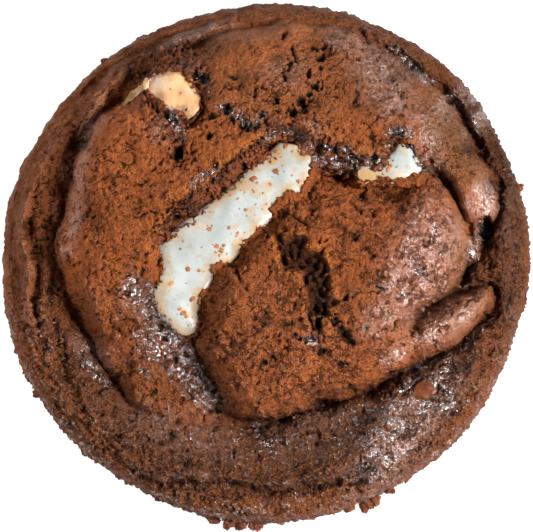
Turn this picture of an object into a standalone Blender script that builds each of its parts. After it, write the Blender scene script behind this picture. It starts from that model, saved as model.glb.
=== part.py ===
"""A thick marshmallow-stuffed chocolate cookie, 100 mm across, resting on its flat underside.

The whole top is one height field. It is drawn on a plane tilted like a reader's view of the cookie (75 degrees above
the table), and every point then leans back to its place: the front edges of the folds overhang a little and their back
edges slope away. Outlines of the folds are short lists of points in units of 0.19 mm, counted from the top left of
a 533 x 532 drawing of the cookie; everything else is in millimetres until the last step, which makes metres.

Pieces: cookie (the dough), marshmallow_main (the filling in the long split), marshmallow_right (the filling that shows
again further along the same split) and marshmallow_toasted (the browned one in the back left flank).
"""
import math

import bmesh
import bpy
import numpy as np

# ---- driving sizes, mm -------------------------------------------------------------------------------------------
UNIT = 0.19            # one unit of the drawing
RADIUS = 49.75         # mean radius of the rim's widest line
EDGE_Z = 4.2           # height of that line above the table
TUCK = 1.3             # how far the foot of the wall tucks in under the widest line
CREVICE = 4.6          # how far the dough sinks round the upper folds, and 3.2 at the front
FRONT_CREVICE = 3.2
FILLING_DEPTH = 10.0   # how deep the marshmallow reaches into the dough
FILLING_CROWN = 1.3    # how much higher its middle is than its edges
PROUD = 0.7            # how far its edges stand above the dough right beside them
GAP = 0.3              # clearance between dough and marshmallow
ELEVATION = math.radians(75)
SHIFT_X, SHIFT_Y = -0.714, -0.144   # puts the middle of the whole cookie on the origin

FIELD = 0.5            # spacing of the computed height field
SOFTEN = 0.6           # its blur, so that facets of about 1.5 mm can follow it
TOP_CELLS = 110        # cells across the mesh that follows the field
WALL_RINGS = 4
DOUGH_FACES = 0.215    # share of that mesh's faces that is kept

# ---- the rim, by angle in degrees from the right ------------------------------------------------------------------
RIM_WIDE = [(0, 5.0), (40, 5.0), (80, 5.5), (110, 6.5), (140, 7.5), (200, 8.5), (240, 11.0), (270, 12.5), (300, 11.0),
            (330, 7.0)]
RIM_TOP = [(0, 12.0), (40, 11.6), (80, 11.6), (110, 12.4), (140, 13.0), (180, 13.4), (215, 13.4), (250, 13.0),
           (270, 12.8), (300, 13.0), (330, 12.6)]

# ---- outlines of the folds, in drawing units ------------------------------------------------------------------------
UPPER = [(190, 340), (204, 366), (214, 386), (224, 408), (205, 420), (176, 418), (152, 411), (132, 402), (117, 382),
         (98, 352), (80, 316), (64, 280), (57, 252), (60, 222), (69, 190), (76, 160), (85, 134), (97, 119), (112, 106),
         (126, 96), (140, 78), (152, 66), (170, 56), (195, 46), (214, 34), (240, 27), (265, 22), (300, 21), (330, 25),
         (352, 27), (366, 38), (380, 53), (395, 66), (418, 80), (440, 110), (440, 150), (436, 172), (424, 182),
         (404, 184), (384, 186), (352, 184), (322, 180), (300, 200), (270, 222), (244, 250), (222, 272), (206, 300),
         (202, 325)]
RIGHT = [(366, 40), (392, 54), (418, 70), (446, 94), (464, 120), (478, 146), (492, 172), (500, 198), (497, 220),
         (487, 226), (484, 243), (474, 262), (460, 264), (440, 230), (420, 190), (390, 150), (370, 100)]
FRONT = [(232, 238), (250, 220), (268, 202), (284, 190), (300, 180), (318, 170), (340, 176), (360, 180), (384, 184),
         (408, 180), (435, 171), (447, 181), (457, 196), (465, 215), (468, 234), (468, 252), (465, 270), (458, 284),
         (444, 297), (428, 308), (417, 316), (412, 332), (415, 352), (409, 365), (394, 373), (373, 387), (352, 395),
         (332, 401), (315, 406), (289, 415), (268, 421), (250, 422), (236, 419), (226, 410), (219, 394), (211, 379),
         (203, 364), (195, 350), (189, 334), (190, 312), (193, 296), (202, 280), (208, 266), (220, 250)]
TONGUE = [(396, 372), (420, 362), (440, 353), (455, 345), (471, 330), (485, 315), (495, 303), (495, 290), (484, 286),
          (461, 290), (444, 298), (420, 310), (400, 330), (390, 350)]

# ---- heights of the folds' crowns: drawing units, and mm above the table ----------------------------------------------
UPPER_SPOTS = [(300, 50, 22), (230, 60, 23), (190, 120, 24.3), (240, 110, 26), (300, 105, 26.5), (345, 110, 26),
               (275, 60, 23.5), (345, 50, 21.5), (160, 100, 22.5), (110, 150, 21.3), (90, 200, 21.3), (130, 220, 24.2),
               (180, 180, 25.8), (88, 250, 20.5), (145, 265, 22.5), (395, 130, 23.8), (400, 90, 22), (430, 150, 22.5),
               (105, 300, 19), (145, 320, 18.8), (125, 365, 16.5), (175, 370, 16.5), (200, 400, 14.5), (160, 405, 14.5)]
RIGHT_SPOTS = [(395, 75, 19.5), (430, 105, 20.5), (450, 145, 20.8), (475, 185, 20), (482, 215, 18.5), (475, 245, 16.5)]
FRONT_SPOTS = [(330, 300, 26.3), (395, 250, 26.3), (300, 375, 22.8), (245, 330, 23.8), (440, 215, 24),
               (360, 365, 22.5), (245, 390, 20.3), (300, 240, 25), (350, 210, 24.5), (430, 290, 23.5), (270, 280, 25),
               (400, 340, 21)]
TONGUE_SPOTS = [(480, 300, 17), (450, 325, 17.5), (415, 350, 17.5), (395, 365, 16)]

# ---- grooves between the rim's own folds, and the sunken strip left of the front fold: line, half width, depth --------
GROOVES = [
    ([(30, 318), (27, 290), (23, 262), (20, 235), (20, 205), (27, 175), (40, 146), (57, 120), (80, 97), (100, 80),
      (122, 62), (150, 45), (180, 32), (215, 22), (250, 17)], 1.2, 1.5),
    ([(52, 270), (47, 290), (49, 318), (56, 350), (66, 380)], 1.2, 0.9),
    ([(120, 462), (140, 475), (155, 481), (189, 482), (215, 483), (241, 489), (268, 492), (301, 488), (320, 486),
      (345, 476)], 1.2, 1.4),
    ([(150, 286), (157, 306), (168, 326), (180, 342), (194, 362), (206, 384), (216, 402)], 2.3, 2.8),
    ([(280, 240), (292, 254), (306, 262), (318, 276), (316, 300), (324, 318), (336, 330), (348, 340)], 1.9, 3.2),
]

# ---- the filling: two edges of each piece, in drawing units, and its height along them --------------------------------
MAIN_EDGES = ([(184, 336), (170, 323), (158, 305), (157, 286), (163, 264), (164, 246), (182, 228), (204, 212),
               (229, 193), (248, 174), (268, 160), (286, 142)],
              [(193, 334), (197, 322), (197, 304), (204, 288), (213, 272), (226, 262), (239, 247), (255, 230),
               (271, 213), (285, 198), (302, 188), (317, 151)])
MAIN_TOP = [16.2, 17.6, 18.6, 19.4, 20.0, 20.5, 20.8, 21.0, 21.3, 21.6, 21.8, 21.6]
RIGHT_EDGES = ([(357, 172), (366, 164), (376, 164), (391, 158), (400, 148), (409, 152), (416, 163), (424, 170)],
               [(358, 178), (366, 181), (378, 179), (391, 180), (400, 180), (407, 179), (414, 177), (424, 174)])
RIGHT_TOP = [21.0, 21.4, 21.6, 21.8, 21.8, 21.6, 21.2, 20.8]
TOASTED_EDGES = ([(146, 86), (154, 77), (165, 73), (176, 72), (187, 79), (194, 91), (198, 104), (195, 115)],
                 [(148, 91), (155, 99), (162, 104), (170, 109), (178, 108), (184, 109), (188, 114), (191, 118)])
TOASTED_TOP = [18.0, 19.0, 20.2, 21.2, 22.0, 22.5, 22.9, 23.1]
FILLINGS = (("marshmallow_main", MAIN_EDGES, MAIN_TOP), ("marshmallow_right", RIGHT_EDGES, RIGHT_TOP),
            ("marshmallow_toasted", TOASTED_EDGES, TOASTED_TOP))


def drawn(points):
    """Drawing units to millimetres right and up from the drawing's middle."""
    return [((x - 266) * UNIT, (266.5 - y) * UNIT) for x, y in points]


def placed(u, w, z):
    """From the tilted drawing plane and a height to the cookie's own axes, in metres."""
    x = u + SHIFT_X
    y = w / math.sin(ELEVATION) - z / math.tan(ELEVATION) + SHIFT_Y
    return np.stack([x, y, z + 0 * x], axis=-1) / 1000


# ---- curves and distances -----------------------------------------------------------------------------------------
def smooth_curve(points, closed, per=6):
    """A Catmull-Rom curve through the points."""
    p, n = np.array(points, float), len(points)
    found = []
    for i in range(n if closed else n - 1):
        if closed:
            a, b, c, d = p[i - 1], p[i], p[(i + 1) % n], p[(i + 2) % n]
        else:
            a, b, c, d = p[max(i - 1, 0)], p[i], p[i + 1], p[min(i + 2, n - 1)]
        for j in range(per):
            t = j / per
            found.append(0.5 * (2 * b + (c - a) * t + (2 * a - 5 * b + 4 * c - d) * t ** 2
                                + (3 * b - a - 3 * c + d) * t ** 3))
    if not closed:
        found.append(p[-1])
    return np.array(found)


def nearest(u, w, curve, closed=False):
    """Each point's distance to the curve, and how far along it that is, from 0 to 1."""
    a, b = (curve, np.roll(curve, -1, axis=0)) if closed else (curve[:-1], curve[1:])
    best, along = np.full(u.shape, 1e9), np.zeros(u.shape)
    for i, (p, q) in enumerate(zip(a, b)):
        e = q - p
        t = np.clip(((u - p[0]) * e[0] + (w - p[1]) * e[1]) / (e @ e + 1e-12), 0, 1)
        d = (u - p[0] - t * e[0]) ** 2 + (w - p[1] - t * e[1]) ** 2
        closer = d < best
        best, along = np.where(closer, d, best), np.where(closer, (i + t) / len(a), along)
    return np.sqrt(best), along


def depth_inside(u, w, outline):
    """How far inside an outline each point lies, negative outside."""
    curve = smooth_curve(drawn(outline), closed=True)
    x, y = curve[:, 0], curve[:, 1]
    x2, y2 = np.roll(x, -1), np.roll(y, -1)
    within = np.zeros(u.shape, bool)
    for i in range(len(curve)):
        if y[i] != y2[i]:
            crosses = (y[i] > w) != (y2[i] > w)
            within ^= crosses & (u < (x2[i] - x[i]) * (w - y[i]) / (y2[i] - y[i]) + x[i])
    far, _ = nearest(u, w, curve, closed=True)
    return np.where(within, far, -far)


def shoulder(depth, wide):
    """A rounded edge: 0 at the outline, 1 from wide inwards."""
    t = np.clip(depth / wide, 0, 1)
    return (1 - (1 - t) ** 2.1) ** (1 / 2.1)


def soft_max(a, b, k):
    h = np.clip(0.5 + 0.5 * (a - b) / k, 0, 1)
    return b * (1 - h) + a * h + k * h * (1 - h)


def crown(u, w, spots, reach):
    """A smooth surface near all the given spot heights."""
    total, weight = 0, 1e-12
    for x, y, z in spots:
        (a, b), = drawn([(x, y)])
        k = np.exp(-((u - a) ** 2 + (w - b) ** 2) / (2 * reach ** 2))
        total, weight = total + k * z, weight + k
    return total / weight


def round_table(angle, table):
    return np.interp(np.degrees(angle) % 360, [a for a, _ in table], [v for _, v in table], period=360)


# ---- the form of the dough ----------------------------------------------------------------------------------------
def rim_radius(angle):
    """The widest line of the rim: a slightly uneven circle, drawn in a little at the front where the wall shows."""
    r = RADIUS + 0.75 * np.cos(angle - math.radians(48)) + 0.35 * np.cos(2 * (angle - math.radians(55)))
    r = r + 0.35 * np.cos(3 * angle + 1.0) + 0.22 * np.cos(5 * angle + 2.2) + 0.15 * np.cos(9 * angle)
    return r - 1.1 * np.clip(-np.sin(angle), 0, 1)


def height(u, w):
    """Height of the dough's top surface, mm."""
    angle = np.arctan2(w, u)
    edge = rim_radius(angle) - np.hypot(u, w)
    upper, right, front, tongue = (depth_inside(u, w, o) for o in (UPPER, RIGHT, FRONT, TONGUE))
    z = EDGE_Z + (round_table(angle, RIM_TOP) - EDGE_Z) * shoulder(edge, round_table(angle, RIM_WIDE))
    # the crevice round the folds, which fades where the lower left flank runs out into the rim
    (cx, cy), = drawn([(182, 425)])
    fade = np.exp(-((u - cx) / 7.5) ** 2 - ((w - cy) / 4.5) ** 2)
    away = np.clip(-np.maximum.reduce([upper, right, front, tongue]), 0, None)
    deep = np.where(w < -20, FRONT_CREVICE, CREVICE)
    z = z - (1 - fade) * (deep * np.exp(-away / 1.7) + 1.3 * np.exp(-away / 6))
    fold = 8 + (crown(u, w, RIGHT_SPOTS, 7) - 8) * shoulder(right, 8)
    z = np.where(right > 0, soft_max(fold, z, 0.5), z)
    fold = 7.5 + (crown(u, w, TONGUE_SPOTS, 5) - 7.5) * shoulder(tongue, 5.5)
    z = np.where(tongue > 0, np.maximum(fold, z), z)
    low = 9 + 3.5 * fade
    fold = low + (crown(u, w, UPPER_SPOTS, 8) - low) * shoulder(upper, 11)
    z = np.where(upper > 0, soft_max(fold, z, 0.8), z)
    z = z - 2.2 * np.exp(np.clip(front, None, 0) / 1.3) * (front < 0)
    fold = 10 + (crown(u, w, FRONT_SPOTS, 8) - 10) * shoulder(front, 10)
    z = np.where(front > 0, fold, z)
    for line, half, deep in GROOVES:
        far, t = nearest(u, w, smooth_curve(drawn(line), closed=False))
        ends = np.clip(2.5 * np.sin(math.pi * np.clip(t, 0.02, 0.98)), 0, 1) * np.clip(edge / 1.5, 0, 1)
        z = z - deep * ends * np.exp(-(far / half) ** 2)
    # the dough comes up to each piece of filling, and beyond a narrow ledge its torn wall rises to the crust
    for _, (left, other), tops in FILLINGS:
        inside = depth_inside(u, w, left + other[::-1])
        middle = [((a + c) / 2, (b + d) / 2) for (a, b), (c, d) in zip(left, other)]
        _, t = nearest(u, w, smooth_curve(drawn(middle), closed=False))
        beside = np.interp(t, np.linspace(0, 1, len(tops)), tops) - FILLING_CROWN - PROUD
        beyond = np.clip(-inside, 0, None)
        near = beyond < 5
        z = np.where(near, np.maximum(z, beside - 1.0 * beyond), z)
        z = np.where(near, np.minimum(z, beside + 1.5 * np.clip(beyond - 1.3, 0, None)), z)
    return z


def softened(field, sigma):
    """Gaussian blur along both axes."""
    reach = int(3 * sigma + 1)
    kernel = np.exp(-0.5 * (np.arange(-reach, reach + 1) / sigma) ** 2)
    kernel /= kernel.sum()
    for axis in (0, 1):
        padded = np.pad(field, [(reach, reach) if a == axis else (0, 0) for a in (0, 1)], mode="edge")
        field = sum(k * np.take(padded, range(i, i + field.shape[axis]), axis=axis) for i, k in enumerate(kernel))
    return field


def sampled(field, origin, spacing, u, w):
    """The field's value at each point, between its four nearest nodes."""
    a, b = (u - origin) / spacing, (w - origin) / spacing
    i, j = (np.clip(np.floor(v).astype(int), 0, field.shape[0] - 2) for v in (a, b))
    a, b = a - i, b - j
    return ((1 - a) * (1 - b) * field[i, j] + a * (1 - b) * field[i + 1, j] + (1 - a) * b * field[i, j + 1]
            + a * b * field[i + 1, j + 1])


# ---- meshes -------------------------------------------------------------------------------------------------------
def round_grid(n):
    """A square grid of n x n cells pressed into a round one: radius 0 to 1, and angle, for each point."""
    a, b = np.meshgrid(np.linspace(-1, 1, n + 1), np.linspace(-1, 1, n + 1), indexing="ij")
    ring = np.maximum(abs(a), abs(b))
    flat = abs(a) >= abs(b)
    angle = np.where(flat, math.pi / 4 * b / np.where(a == 0, 1, a) + np.where(a < 0, math.pi, 0),
                     math.pi / 2 - math.pi / 4 * a / np.where(b == 0, 1, b) + np.where(b < 0, math.pi, 0))
    return ring, np.where(ring == 0, 0, angle)


def new_object(name, bm, material, parent):
    bmesh.ops.recalc_face_normals(bm, faces=bm.faces)
    mesh = bpy.data.meshes.new(name)
    bm.to_mesh(mesh)
    bm.free()
    mesh.materials.append(material)
    mesh.shade_smooth()
    obj = bpy.data.objects.new(name, mesh)
    bpy.context.collection.objects.link(obj)
    obj.parent = parent
    return obj


def make_dough(name, material, parent):
    """The height field as a grid, its border extruded down and in to the table, and a flat underside."""
    side = np.arange(-RADIUS - 4, RADIUS + 4 + FIELD, FIELD)
    field_u, field_w = np.meshgrid(side, side, indexing="ij")
    away = np.hypot(field_u, field_w)
    # outside the rim the field repeats the rim's own edge, so that the blur doesn't pull it down
    held = np.minimum(1, (rim_radius(np.arctan2(field_w, field_u)) - 0.2) / np.maximum(away, 1e-6))
    field = softened(height(field_u * held, field_w * held), SOFTEN / FIELD)

    bm = bmesh.new()
    bmesh.ops.create_grid(bm, x_segments=TOP_CELLS, y_segments=TOP_CELLS, size=1.0)
    at = np.array([v.co for v in bm.verts])
    i, j = np.rint((at[:, :2] + 1) / 2 * TOP_CELLS).astype(int).T
    ring, angle = (a[i, j] for a in round_grid(TOP_CELLS))
    r = ring * rim_radius(angle)
    u, w = r * np.cos(angle), r * np.sin(angle)
    z = np.where(ring > 0.999, EDGE_Z, np.maximum(sampled(field, side[0], FIELD, u, w), EDGE_Z - 0.6))
    for v, p in zip(bm.verts, placed(u, w, z)):
        v.co = p
    # the wall: widest at EDGE_Z, tucking in towards its foot
    border = [e for e in bm.edges if e.is_boundary]
    before = 0
    for k in range(1, WALL_RINGS + 1):
        made = bmesh.ops.extrude_edge_only(bm, edges=border)["geom"]
        border = [g for g in made if isinstance(g, bmesh.types.BMEdge) and g.is_boundary]
        down = k / WALL_RINGS
        tuck = TUCK * (1 - math.sqrt(1 - down ** 2)) / 1000
        for v in {v for e in border for v in e.verts}:
            away = math.hypot(v.co.x, v.co.y)
            v.co.x -= v.co.x / away * (tuck - before)
            v.co.y -= v.co.y / away * (tuck - before)
            v.co.z = EDGE_Z / 1000 * (1 - down)
        before = tuck
    bmesh.ops.contextual_create(bm, geom=border)
    bmesh.ops.triangulate(bm, faces=bm.faces, quad_method="SHORT_EDGE")
    obj = new_object(name, bm, material, parent)
    fewer = obj.modifiers.new("fewer_faces", "DECIMATE")
    fewer.ratio = DOUGH_FACES
    return obj


def make_filling(name, edges, tops, material, parent, grown=0.0, around=12):
    """A body lofted between its two edges: a low crown that shows, over a deep rounded body inside the dough."""
    rails = [smooth_curve(drawn(line), closed=False, per=3) for line in edges]
    count = len(rails[0])
    share = np.linspace(0, 1, len(tops))
    bm = bmesh.new()
    rings = []
    for k in range(count):
        a, b = rails[0][k], rails[1][k]
        half = np.hypot(*(b - a)) / 2
        middle, across = (a + b) / 2, (b - a) / (2 * half)
        end = {0: -1, count - 1: 1}.get(k, 0)
        ahead = np.array([across[1], -across[0]])
        towards = (rails[0][-1] + rails[1][-1] - rails[0][0] - rails[1][0]) / 2
        ahead = ahead * math.copysign(1, ahead @ towards)
        middle = middle + ahead * end * grown
        top = float(np.interp(k / (count - 1), share, tops)) + grown
        edge = top - FILLING_CROWN - grown
        foot = top - FILLING_DEPTH - 2 * grown
        ring = []
        for angle in np.linspace(0, 2 * math.pi, around, endpoint=False):
            side = (half + grown) * math.copysign(abs(math.cos(angle)) ** 0.7, math.cos(angle))
            up = edge + (top - edge if math.sin(angle) > 0 else edge - foot) * math.sin(angle)
            u, w = middle + across * side
            ring.append(bm.verts.new(placed(u, w, up)))
        rings.append(ring)
    for first, second in zip(rings, rings[1:]):
        for a in range(around):
            b = (a + 1) % around
            bm.faces.new((first[a], first[b], second[b], second[a]))
    bm.faces.new(rings[0])
    bm.faces.new(rings[-1])
    bmesh.ops.triangulate(bm, faces=bm.faces)
    return new_object(name, bm, material, parent)


def make_material(name, colour, roughness):
    material = bpy.data.materials.new(name)
    material.use_nodes = True
    shader = material.node_tree.nodes["Principled BSDF"]
    shader.inputs["Base Color"].default_value = (*colour, 1)
    shader.inputs["Roughness"].default_value = roughness
    shader.inputs["Metallic"].default_value = 0
    return material


def main():
    for obj in list(bpy.data.objects):
        bpy.data.objects.remove(obj)
    dough = make_material("chocolate_dough", (0.19, 0.065, 0.024), 0.75)
    white = make_material("marshmallow_white", (0.80, 0.78, 0.70), 0.45)
    cream = make_material("marshmallow_cream", (0.81, 0.72, 0.58), 0.45)
    browned = make_material("marshmallow_browned", (0.83, 0.55, 0.27), 0.5)
    whole = bpy.data.objects.new("smore_cookie", None)
    bpy.context.collection.objects.link(whole)
    cookie = make_dough("cookie", dough, whole)
    for (name, edges, tops), material in zip(FILLINGS, (white, cream, browned)):
        make_filling(name, edges, tops, material, whole)
        cutter = make_filling(name + "_pocket", edges, tops, material, whole, GAP)
        cutter.hide_render = True
        cutter.display_type = "WIRE"
        cut = cookie.modifiers.new(name + "_pocket", "BOOLEAN")
        cut.operation = "DIFFERENCE"
        cut.solver = "EXACT"
        cut.object = cutter


main()
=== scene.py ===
"""Looks of the marshmallow-stuffed chocolate cookie.

The dough is one fine mesh. Its form is the same height field as the solid's, drawn on a plane tilted 75 degrees above
the table and leant back to its place, with creases, torn crumb, cracks, pores and grain worked into it. Positions on
that drawing are in units of 0.19 mm from its top left corner, everything else is in millimetres, and the last step
makes metres. The melted marshmallow, its crumbs, the chocolate chip and the loose crumbs are meshes of their own.
"""
import math
import bpy
import numpy as np
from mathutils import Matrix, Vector


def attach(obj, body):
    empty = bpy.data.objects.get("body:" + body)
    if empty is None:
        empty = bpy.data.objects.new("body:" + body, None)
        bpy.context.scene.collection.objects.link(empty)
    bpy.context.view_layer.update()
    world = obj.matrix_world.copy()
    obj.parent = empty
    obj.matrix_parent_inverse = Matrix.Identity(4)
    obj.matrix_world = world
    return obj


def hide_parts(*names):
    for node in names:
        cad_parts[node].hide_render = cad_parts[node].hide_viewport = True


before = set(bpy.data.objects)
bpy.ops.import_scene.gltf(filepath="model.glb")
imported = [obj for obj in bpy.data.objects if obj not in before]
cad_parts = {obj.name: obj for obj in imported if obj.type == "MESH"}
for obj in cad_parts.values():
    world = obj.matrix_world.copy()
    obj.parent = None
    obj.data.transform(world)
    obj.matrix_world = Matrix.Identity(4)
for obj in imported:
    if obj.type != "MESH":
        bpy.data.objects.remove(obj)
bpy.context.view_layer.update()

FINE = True

# ---- sizes shared with the solids, mm ------------------------------------------------------------------------------
UNIT = 0.19
RADIUS = 49.75
EDGE_Z = 4.2
TUCK = 1.3
FILLING_CROWN = 1.3
PROUD = 0.7
ELEVATION = math.radians(75)
SHIFT_X, SHIFT_Y = -0.714, -0.144

CELLS = 560 if FINE else 270        # cells across the dough's top mesh
MOST_FACES = 194000                 # triangles kept in it
LOW, HIGH = -9, 543                 # the drawn fields run from here to here, in drawing units: an odd count of nodes

RIM_WIDE = [(0, 5.0), (40, 5.0), (80, 5.5), (110, 6.5), (140, 7.5), (200, 8.5), (240, 11.0), (270, 12.5), (300, 11.0),
            (330, 7.0)]
RIM_TOP = [(0, 12.0), (40, 11.6), (80, 11.6), (110, 12.4), (140, 13.0), (180, 13.4), (215, 13.4), (250, 13.0),
           (270, 12.8), (300, 13.0), (330, 12.6)]

# how deep and how wide the crease inside the rim is, mm, by angle round the cookie
CREASE_DEEP = [(0, 3.3), (30, 3.2), (48, 2.6), (60, 1.6), (75, 1.0), (100, 1.0), (118, 1.4), (132, 2.1), (150, 2.5),
               (200, 2.7), (220, 2.8), (236, 2.2), (252, 2.4), (275, 3.0), (315, 3.4), (340, 3.5)]
CREASE_WIDE = [(0, 1.7), (30, 1.6), (50, 1.2), (70, 0.6), (105, 0.6), (122, 1.2), (138, 2.8), (160, 4.0), (205, 4.0),
               (225, 2.8), (242, 1.3), (270, 1.1), (310, 1.3), (335, 1.6)]

# how far the outline goes beyond an even round, mm
UNEVEN = [(0, -0.1), (15, 0.4), (30, 0.2), (45, 0.8), (60, 0.3), (75, 0.0), (90, -0.3), (105, -0.7), (120, -0.6), (135, 0.5),
          (150, 1.2), (165, 1.65), (180, 1.0), (195, 0.8), (210, 0.7), (225, 0.4), (240, -0.5), (255, 0.0), (270, 0.2),
          (285, 0.2), (300, 0.3), (315, -0.2), (330, -0.8), (345, -0.95)]

UPPER = [(190, 340), (204, 366), (214, 386), (224, 408), (205, 420), (176, 418), (152, 411), (132, 402), (117, 382),
         (98, 352), (80, 316), (64, 280), (57, 252), (60, 222), (69, 190), (76, 160), (85, 134), (97, 119), (112, 106),
         (126, 96), (140, 78), (152, 66), (170, 56), (195, 46), (214, 34), (240, 27), (265, 22), (300, 21), (330, 25),
         (352, 27), (366, 38), (380, 53), (395, 66), (418, 80), (440, 110), (440, 150), (436, 172), (424, 182),
         (404, 184), (384, 186), (352, 184), (322, 180), (300, 200), (270, 222), (244, 250), (222, 272), (206, 300),
         (202, 325)]
RIGHT = [(366, 40), (392, 54), (418, 70), (446, 94), (464, 120), (478, 146), (492, 172), (500, 198), (497, 220),
         (487, 226), (484, 243), (474, 262), (460, 264), (440, 230), (420, 190), (390, 150), (370, 100)]
FRONT = [(232, 238), (250, 220), (268, 202), (284, 190), (300, 180), (318, 170), (340, 176), (360, 180), (384, 184),
         (408, 180), (435, 171), (447, 181), (457, 196), (465, 215), (468, 234), (468, 252), (465, 270), (458, 284),
         (444, 297), (428, 308), (417, 316), (412, 332), (415, 352), (409, 365), (394, 373), (373, 387), (352, 395),
         (332, 401), (315, 406), (289, 415), (268, 421), (250, 422), (236, 419), (226, 410), (219, 394), (211, 379),
         (203, 364), (195, 350), (189, 334), (190, 312), (193, 296), (202, 280), (208, 266), (220, 250)]
TONGUE = [(396, 372), (420, 362), (440, 353), (455, 345), (471, 330), (485, 315), (495, 303), (495, 290), (484, 286),
          (461, 290), (444, 298), (420, 310), (400, 330), (390, 350)]

UPPER_SPOTS = [(300, 50, 22), (230, 60, 23), (190, 120, 24.3), (240, 110, 26), (300, 105, 26.5), (345, 110, 26),
               (275, 60, 23.5), (345, 50, 21.5), (160, 100, 22.5), (110, 150, 21.3), (90, 200, 21.3), (130, 220, 24.2),
               (180, 180, 25.8), (88, 250, 20.5), (145, 265, 22.5), (395, 130, 23.8), (400, 90, 22), (430, 150, 22.5),
               (105, 300, 19), (145, 320, 18.8), (125, 365, 16.5), (175, 370, 16.5), (200, 400, 14.5), (160, 405, 14.5)]
RIGHT_SPOTS = [(395, 75, 19.5), (430, 105, 20.5), (450, 145, 20.8), (475, 185, 20), (482, 215, 18.5), (475, 245, 16.5)]
FRONT_SPOTS = [(330, 300, 26.3), (395, 250, 26.3), (300, 375, 22.8), (245, 330, 23.8), (440, 215, 24),
               (360, 365, 22.5), (245, 390, 20.3), (300, 240, 25), (350, 210, 24.5), (430, 290, 23.5), (270, 280, 25),
               (400, 340, 21)]
TONGUE_SPOTS = [(480, 300, 17), (450, 325, 17.5), (415, 350, 17.5), (395, 365, 16)]

# the rim's own folds, as grooves and as ridges of less than no depth: line, half width and depth in mm
GROOVES = [
    ([(24, 332), (20, 305), (19, 282), (16, 262), (12, 242), (13, 215), (19, 185), (32, 155), (50, 126), (72, 103),
      (92, 84), (115, 65), (142, 47), (172, 34), (205, 23), (240, 15)], 1.0, 1.7),
    ([(38, 352), (30, 322), (26, 300), (27, 284), (30, 270), (26, 254), (21, 238), (22, 212), (30, 180)], 0.8, -1.9),
    ([(40, 340), (34, 303), (36, 284), (38, 268), (34, 250), (30, 225), (36, 190)], 0.9, 1.3),
    ([(56, 362), (46, 325), (42, 302), (46, 280), (44, 262)], 0.9, -1.5),
    ([(52, 274), (48, 292), (51, 318), (58, 345), (66, 375), (82, 402)], 0.9, 1.3),
    ([(88, 132), (92, 112), (100, 94), (111, 79), (130, 66)], 1.3, -2.4),
    ([(42, 165), (54, 140), (70, 118), (84, 100), (100, 82), (120, 68), (140, 56)], 1.0, 2.2),
    ([(55, 128), (74, 108), (93, 90), (112, 72), (140, 52)], 0.8, -1.0),
    ([(36, 172), (52, 146), (64, 128)], 0.8, -1.2),
    ([(150, 52), (170, 42), (196, 33), (220, 24), (238, 19)], 0.8, -1.3),
    ([(146, 50), (160, 43), (178, 37), (205, 29)], 0.8, 1.6),
    ([(120, 462), (140, 475), (155, 481), (189, 482), (215, 483), (241, 489), (268, 492), (301, 488), (320, 486),
      (345, 476), (372, 462)], 0.8, 2.2),
    ([(130, 458), (150, 471), (189, 474), (215, 475), (241, 480), (268, 483), (301, 479), (320, 477), (345, 468)], 1.1, -1.2),
    ([(150, 286), (157, 306), (168, 326), (180, 342), (194, 362), (206, 384), (216, 402)], 1.3, 1.8),
    ([(76, 288), (84, 306), (92, 324), (100, 342)], 1.5, 1.0),
    ([(82, 272), (88, 290), (95, 308), (103, 330)], 1.2, -0.7),
    ([(354, 26), (362, 36), (372, 49), (388, 64), (404, 78), (424, 98)], 0.8, 1.1),
    ([(200, 50), (170, 55), (152, 67), (138, 85), (124, 104)], 0.7, 1.0),
    ([(407, 364), (424, 358), (440, 352), (458, 343)], 0.8, 1.2),
    ([(505, 150), (513, 185), (516, 220), (516, 255), (511, 290), (502, 322)], 1.0, 1.4),
    ([(470, 96), (486, 122), (498, 150), (506, 178)], 0.9, 1.6), ([(462, 100), (478, 124), (490, 150)], 0.9, -1.0),
    ([(400, 455), (430, 435), (458, 405), (480, 370), (494, 338)], 0.9, 1.2),
    ([(255, 190), (262, 204), (258, 216), (246, 230)], 1.2, 0.5),
    ([(62, 196), (57, 208), (58, 222)], 0.7, -1.6),
    ([(403, 389), (416, 381), (432, 373), (452, 364)], 0.9, -0.7), ([(441, 378), (449, 390), (453, 406)], 0.8, -0.7),
    ([(432, 408), (445, 399)], 0.6, -0.5),
]

# ---- the filling: the two edges of each piece, its height along them, and the outline the torn dough leaves open ------
MAIN_EDGES = ([(184, 336), (170, 323), (158, 305), (157, 286), (163, 264), (164, 246), (182, 228), (204, 212),
               (229, 193), (248, 174), (268, 160), (286, 142)],
              [(193, 334), (197, 322), (197, 304), (204, 288), (213, 272), (226, 262), (239, 247), (255, 230),
               (271, 213), (285, 198), (302, 188), (317, 151)])
MAIN_TOP = [16.2, 17.6, 18.6, 19.4, 20.0, 20.5, 20.8, 21.0, 21.3, 21.6, 21.8, 21.6]
MAIN_SEEN = [(291, 141), (297, 144), (298, 155), (307, 157), (318, 150), (312, 162), (310, 173), (303, 186), (297, 193),
             (289, 189), (281, 196), (269, 207), (270, 217), (265, 222), (256, 223), (253, 232), (238, 245), (237, 259),
             (220, 259), (211, 269), (210, 283), (199, 293), (195, 316), (197, 330), (192, 335), (179, 333), (168, 321),
             (160, 312), (157, 294), (164, 283), (165, 270), (162, 252), (161, 245), (173, 242), (180, 228), (197, 224),
             (213, 204), (228, 194), (242, 183), (252, 169), (265, 163), (281, 161), (280, 151), (273, 145), (283, 142)]
RIGHT_EDGES = ([(357, 172), (366, 164), (376, 164), (391, 158), (400, 148), (409, 152), (416, 163), (424, 170)],
               [(358, 178), (366, 181), (378, 179), (391, 180), (400, 180), (407, 179), (414, 177), (424, 174)])
RIGHT_TOP = [21.0, 21.4, 21.6, 21.8, 21.8, 21.6, 21.2, 20.8]
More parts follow.
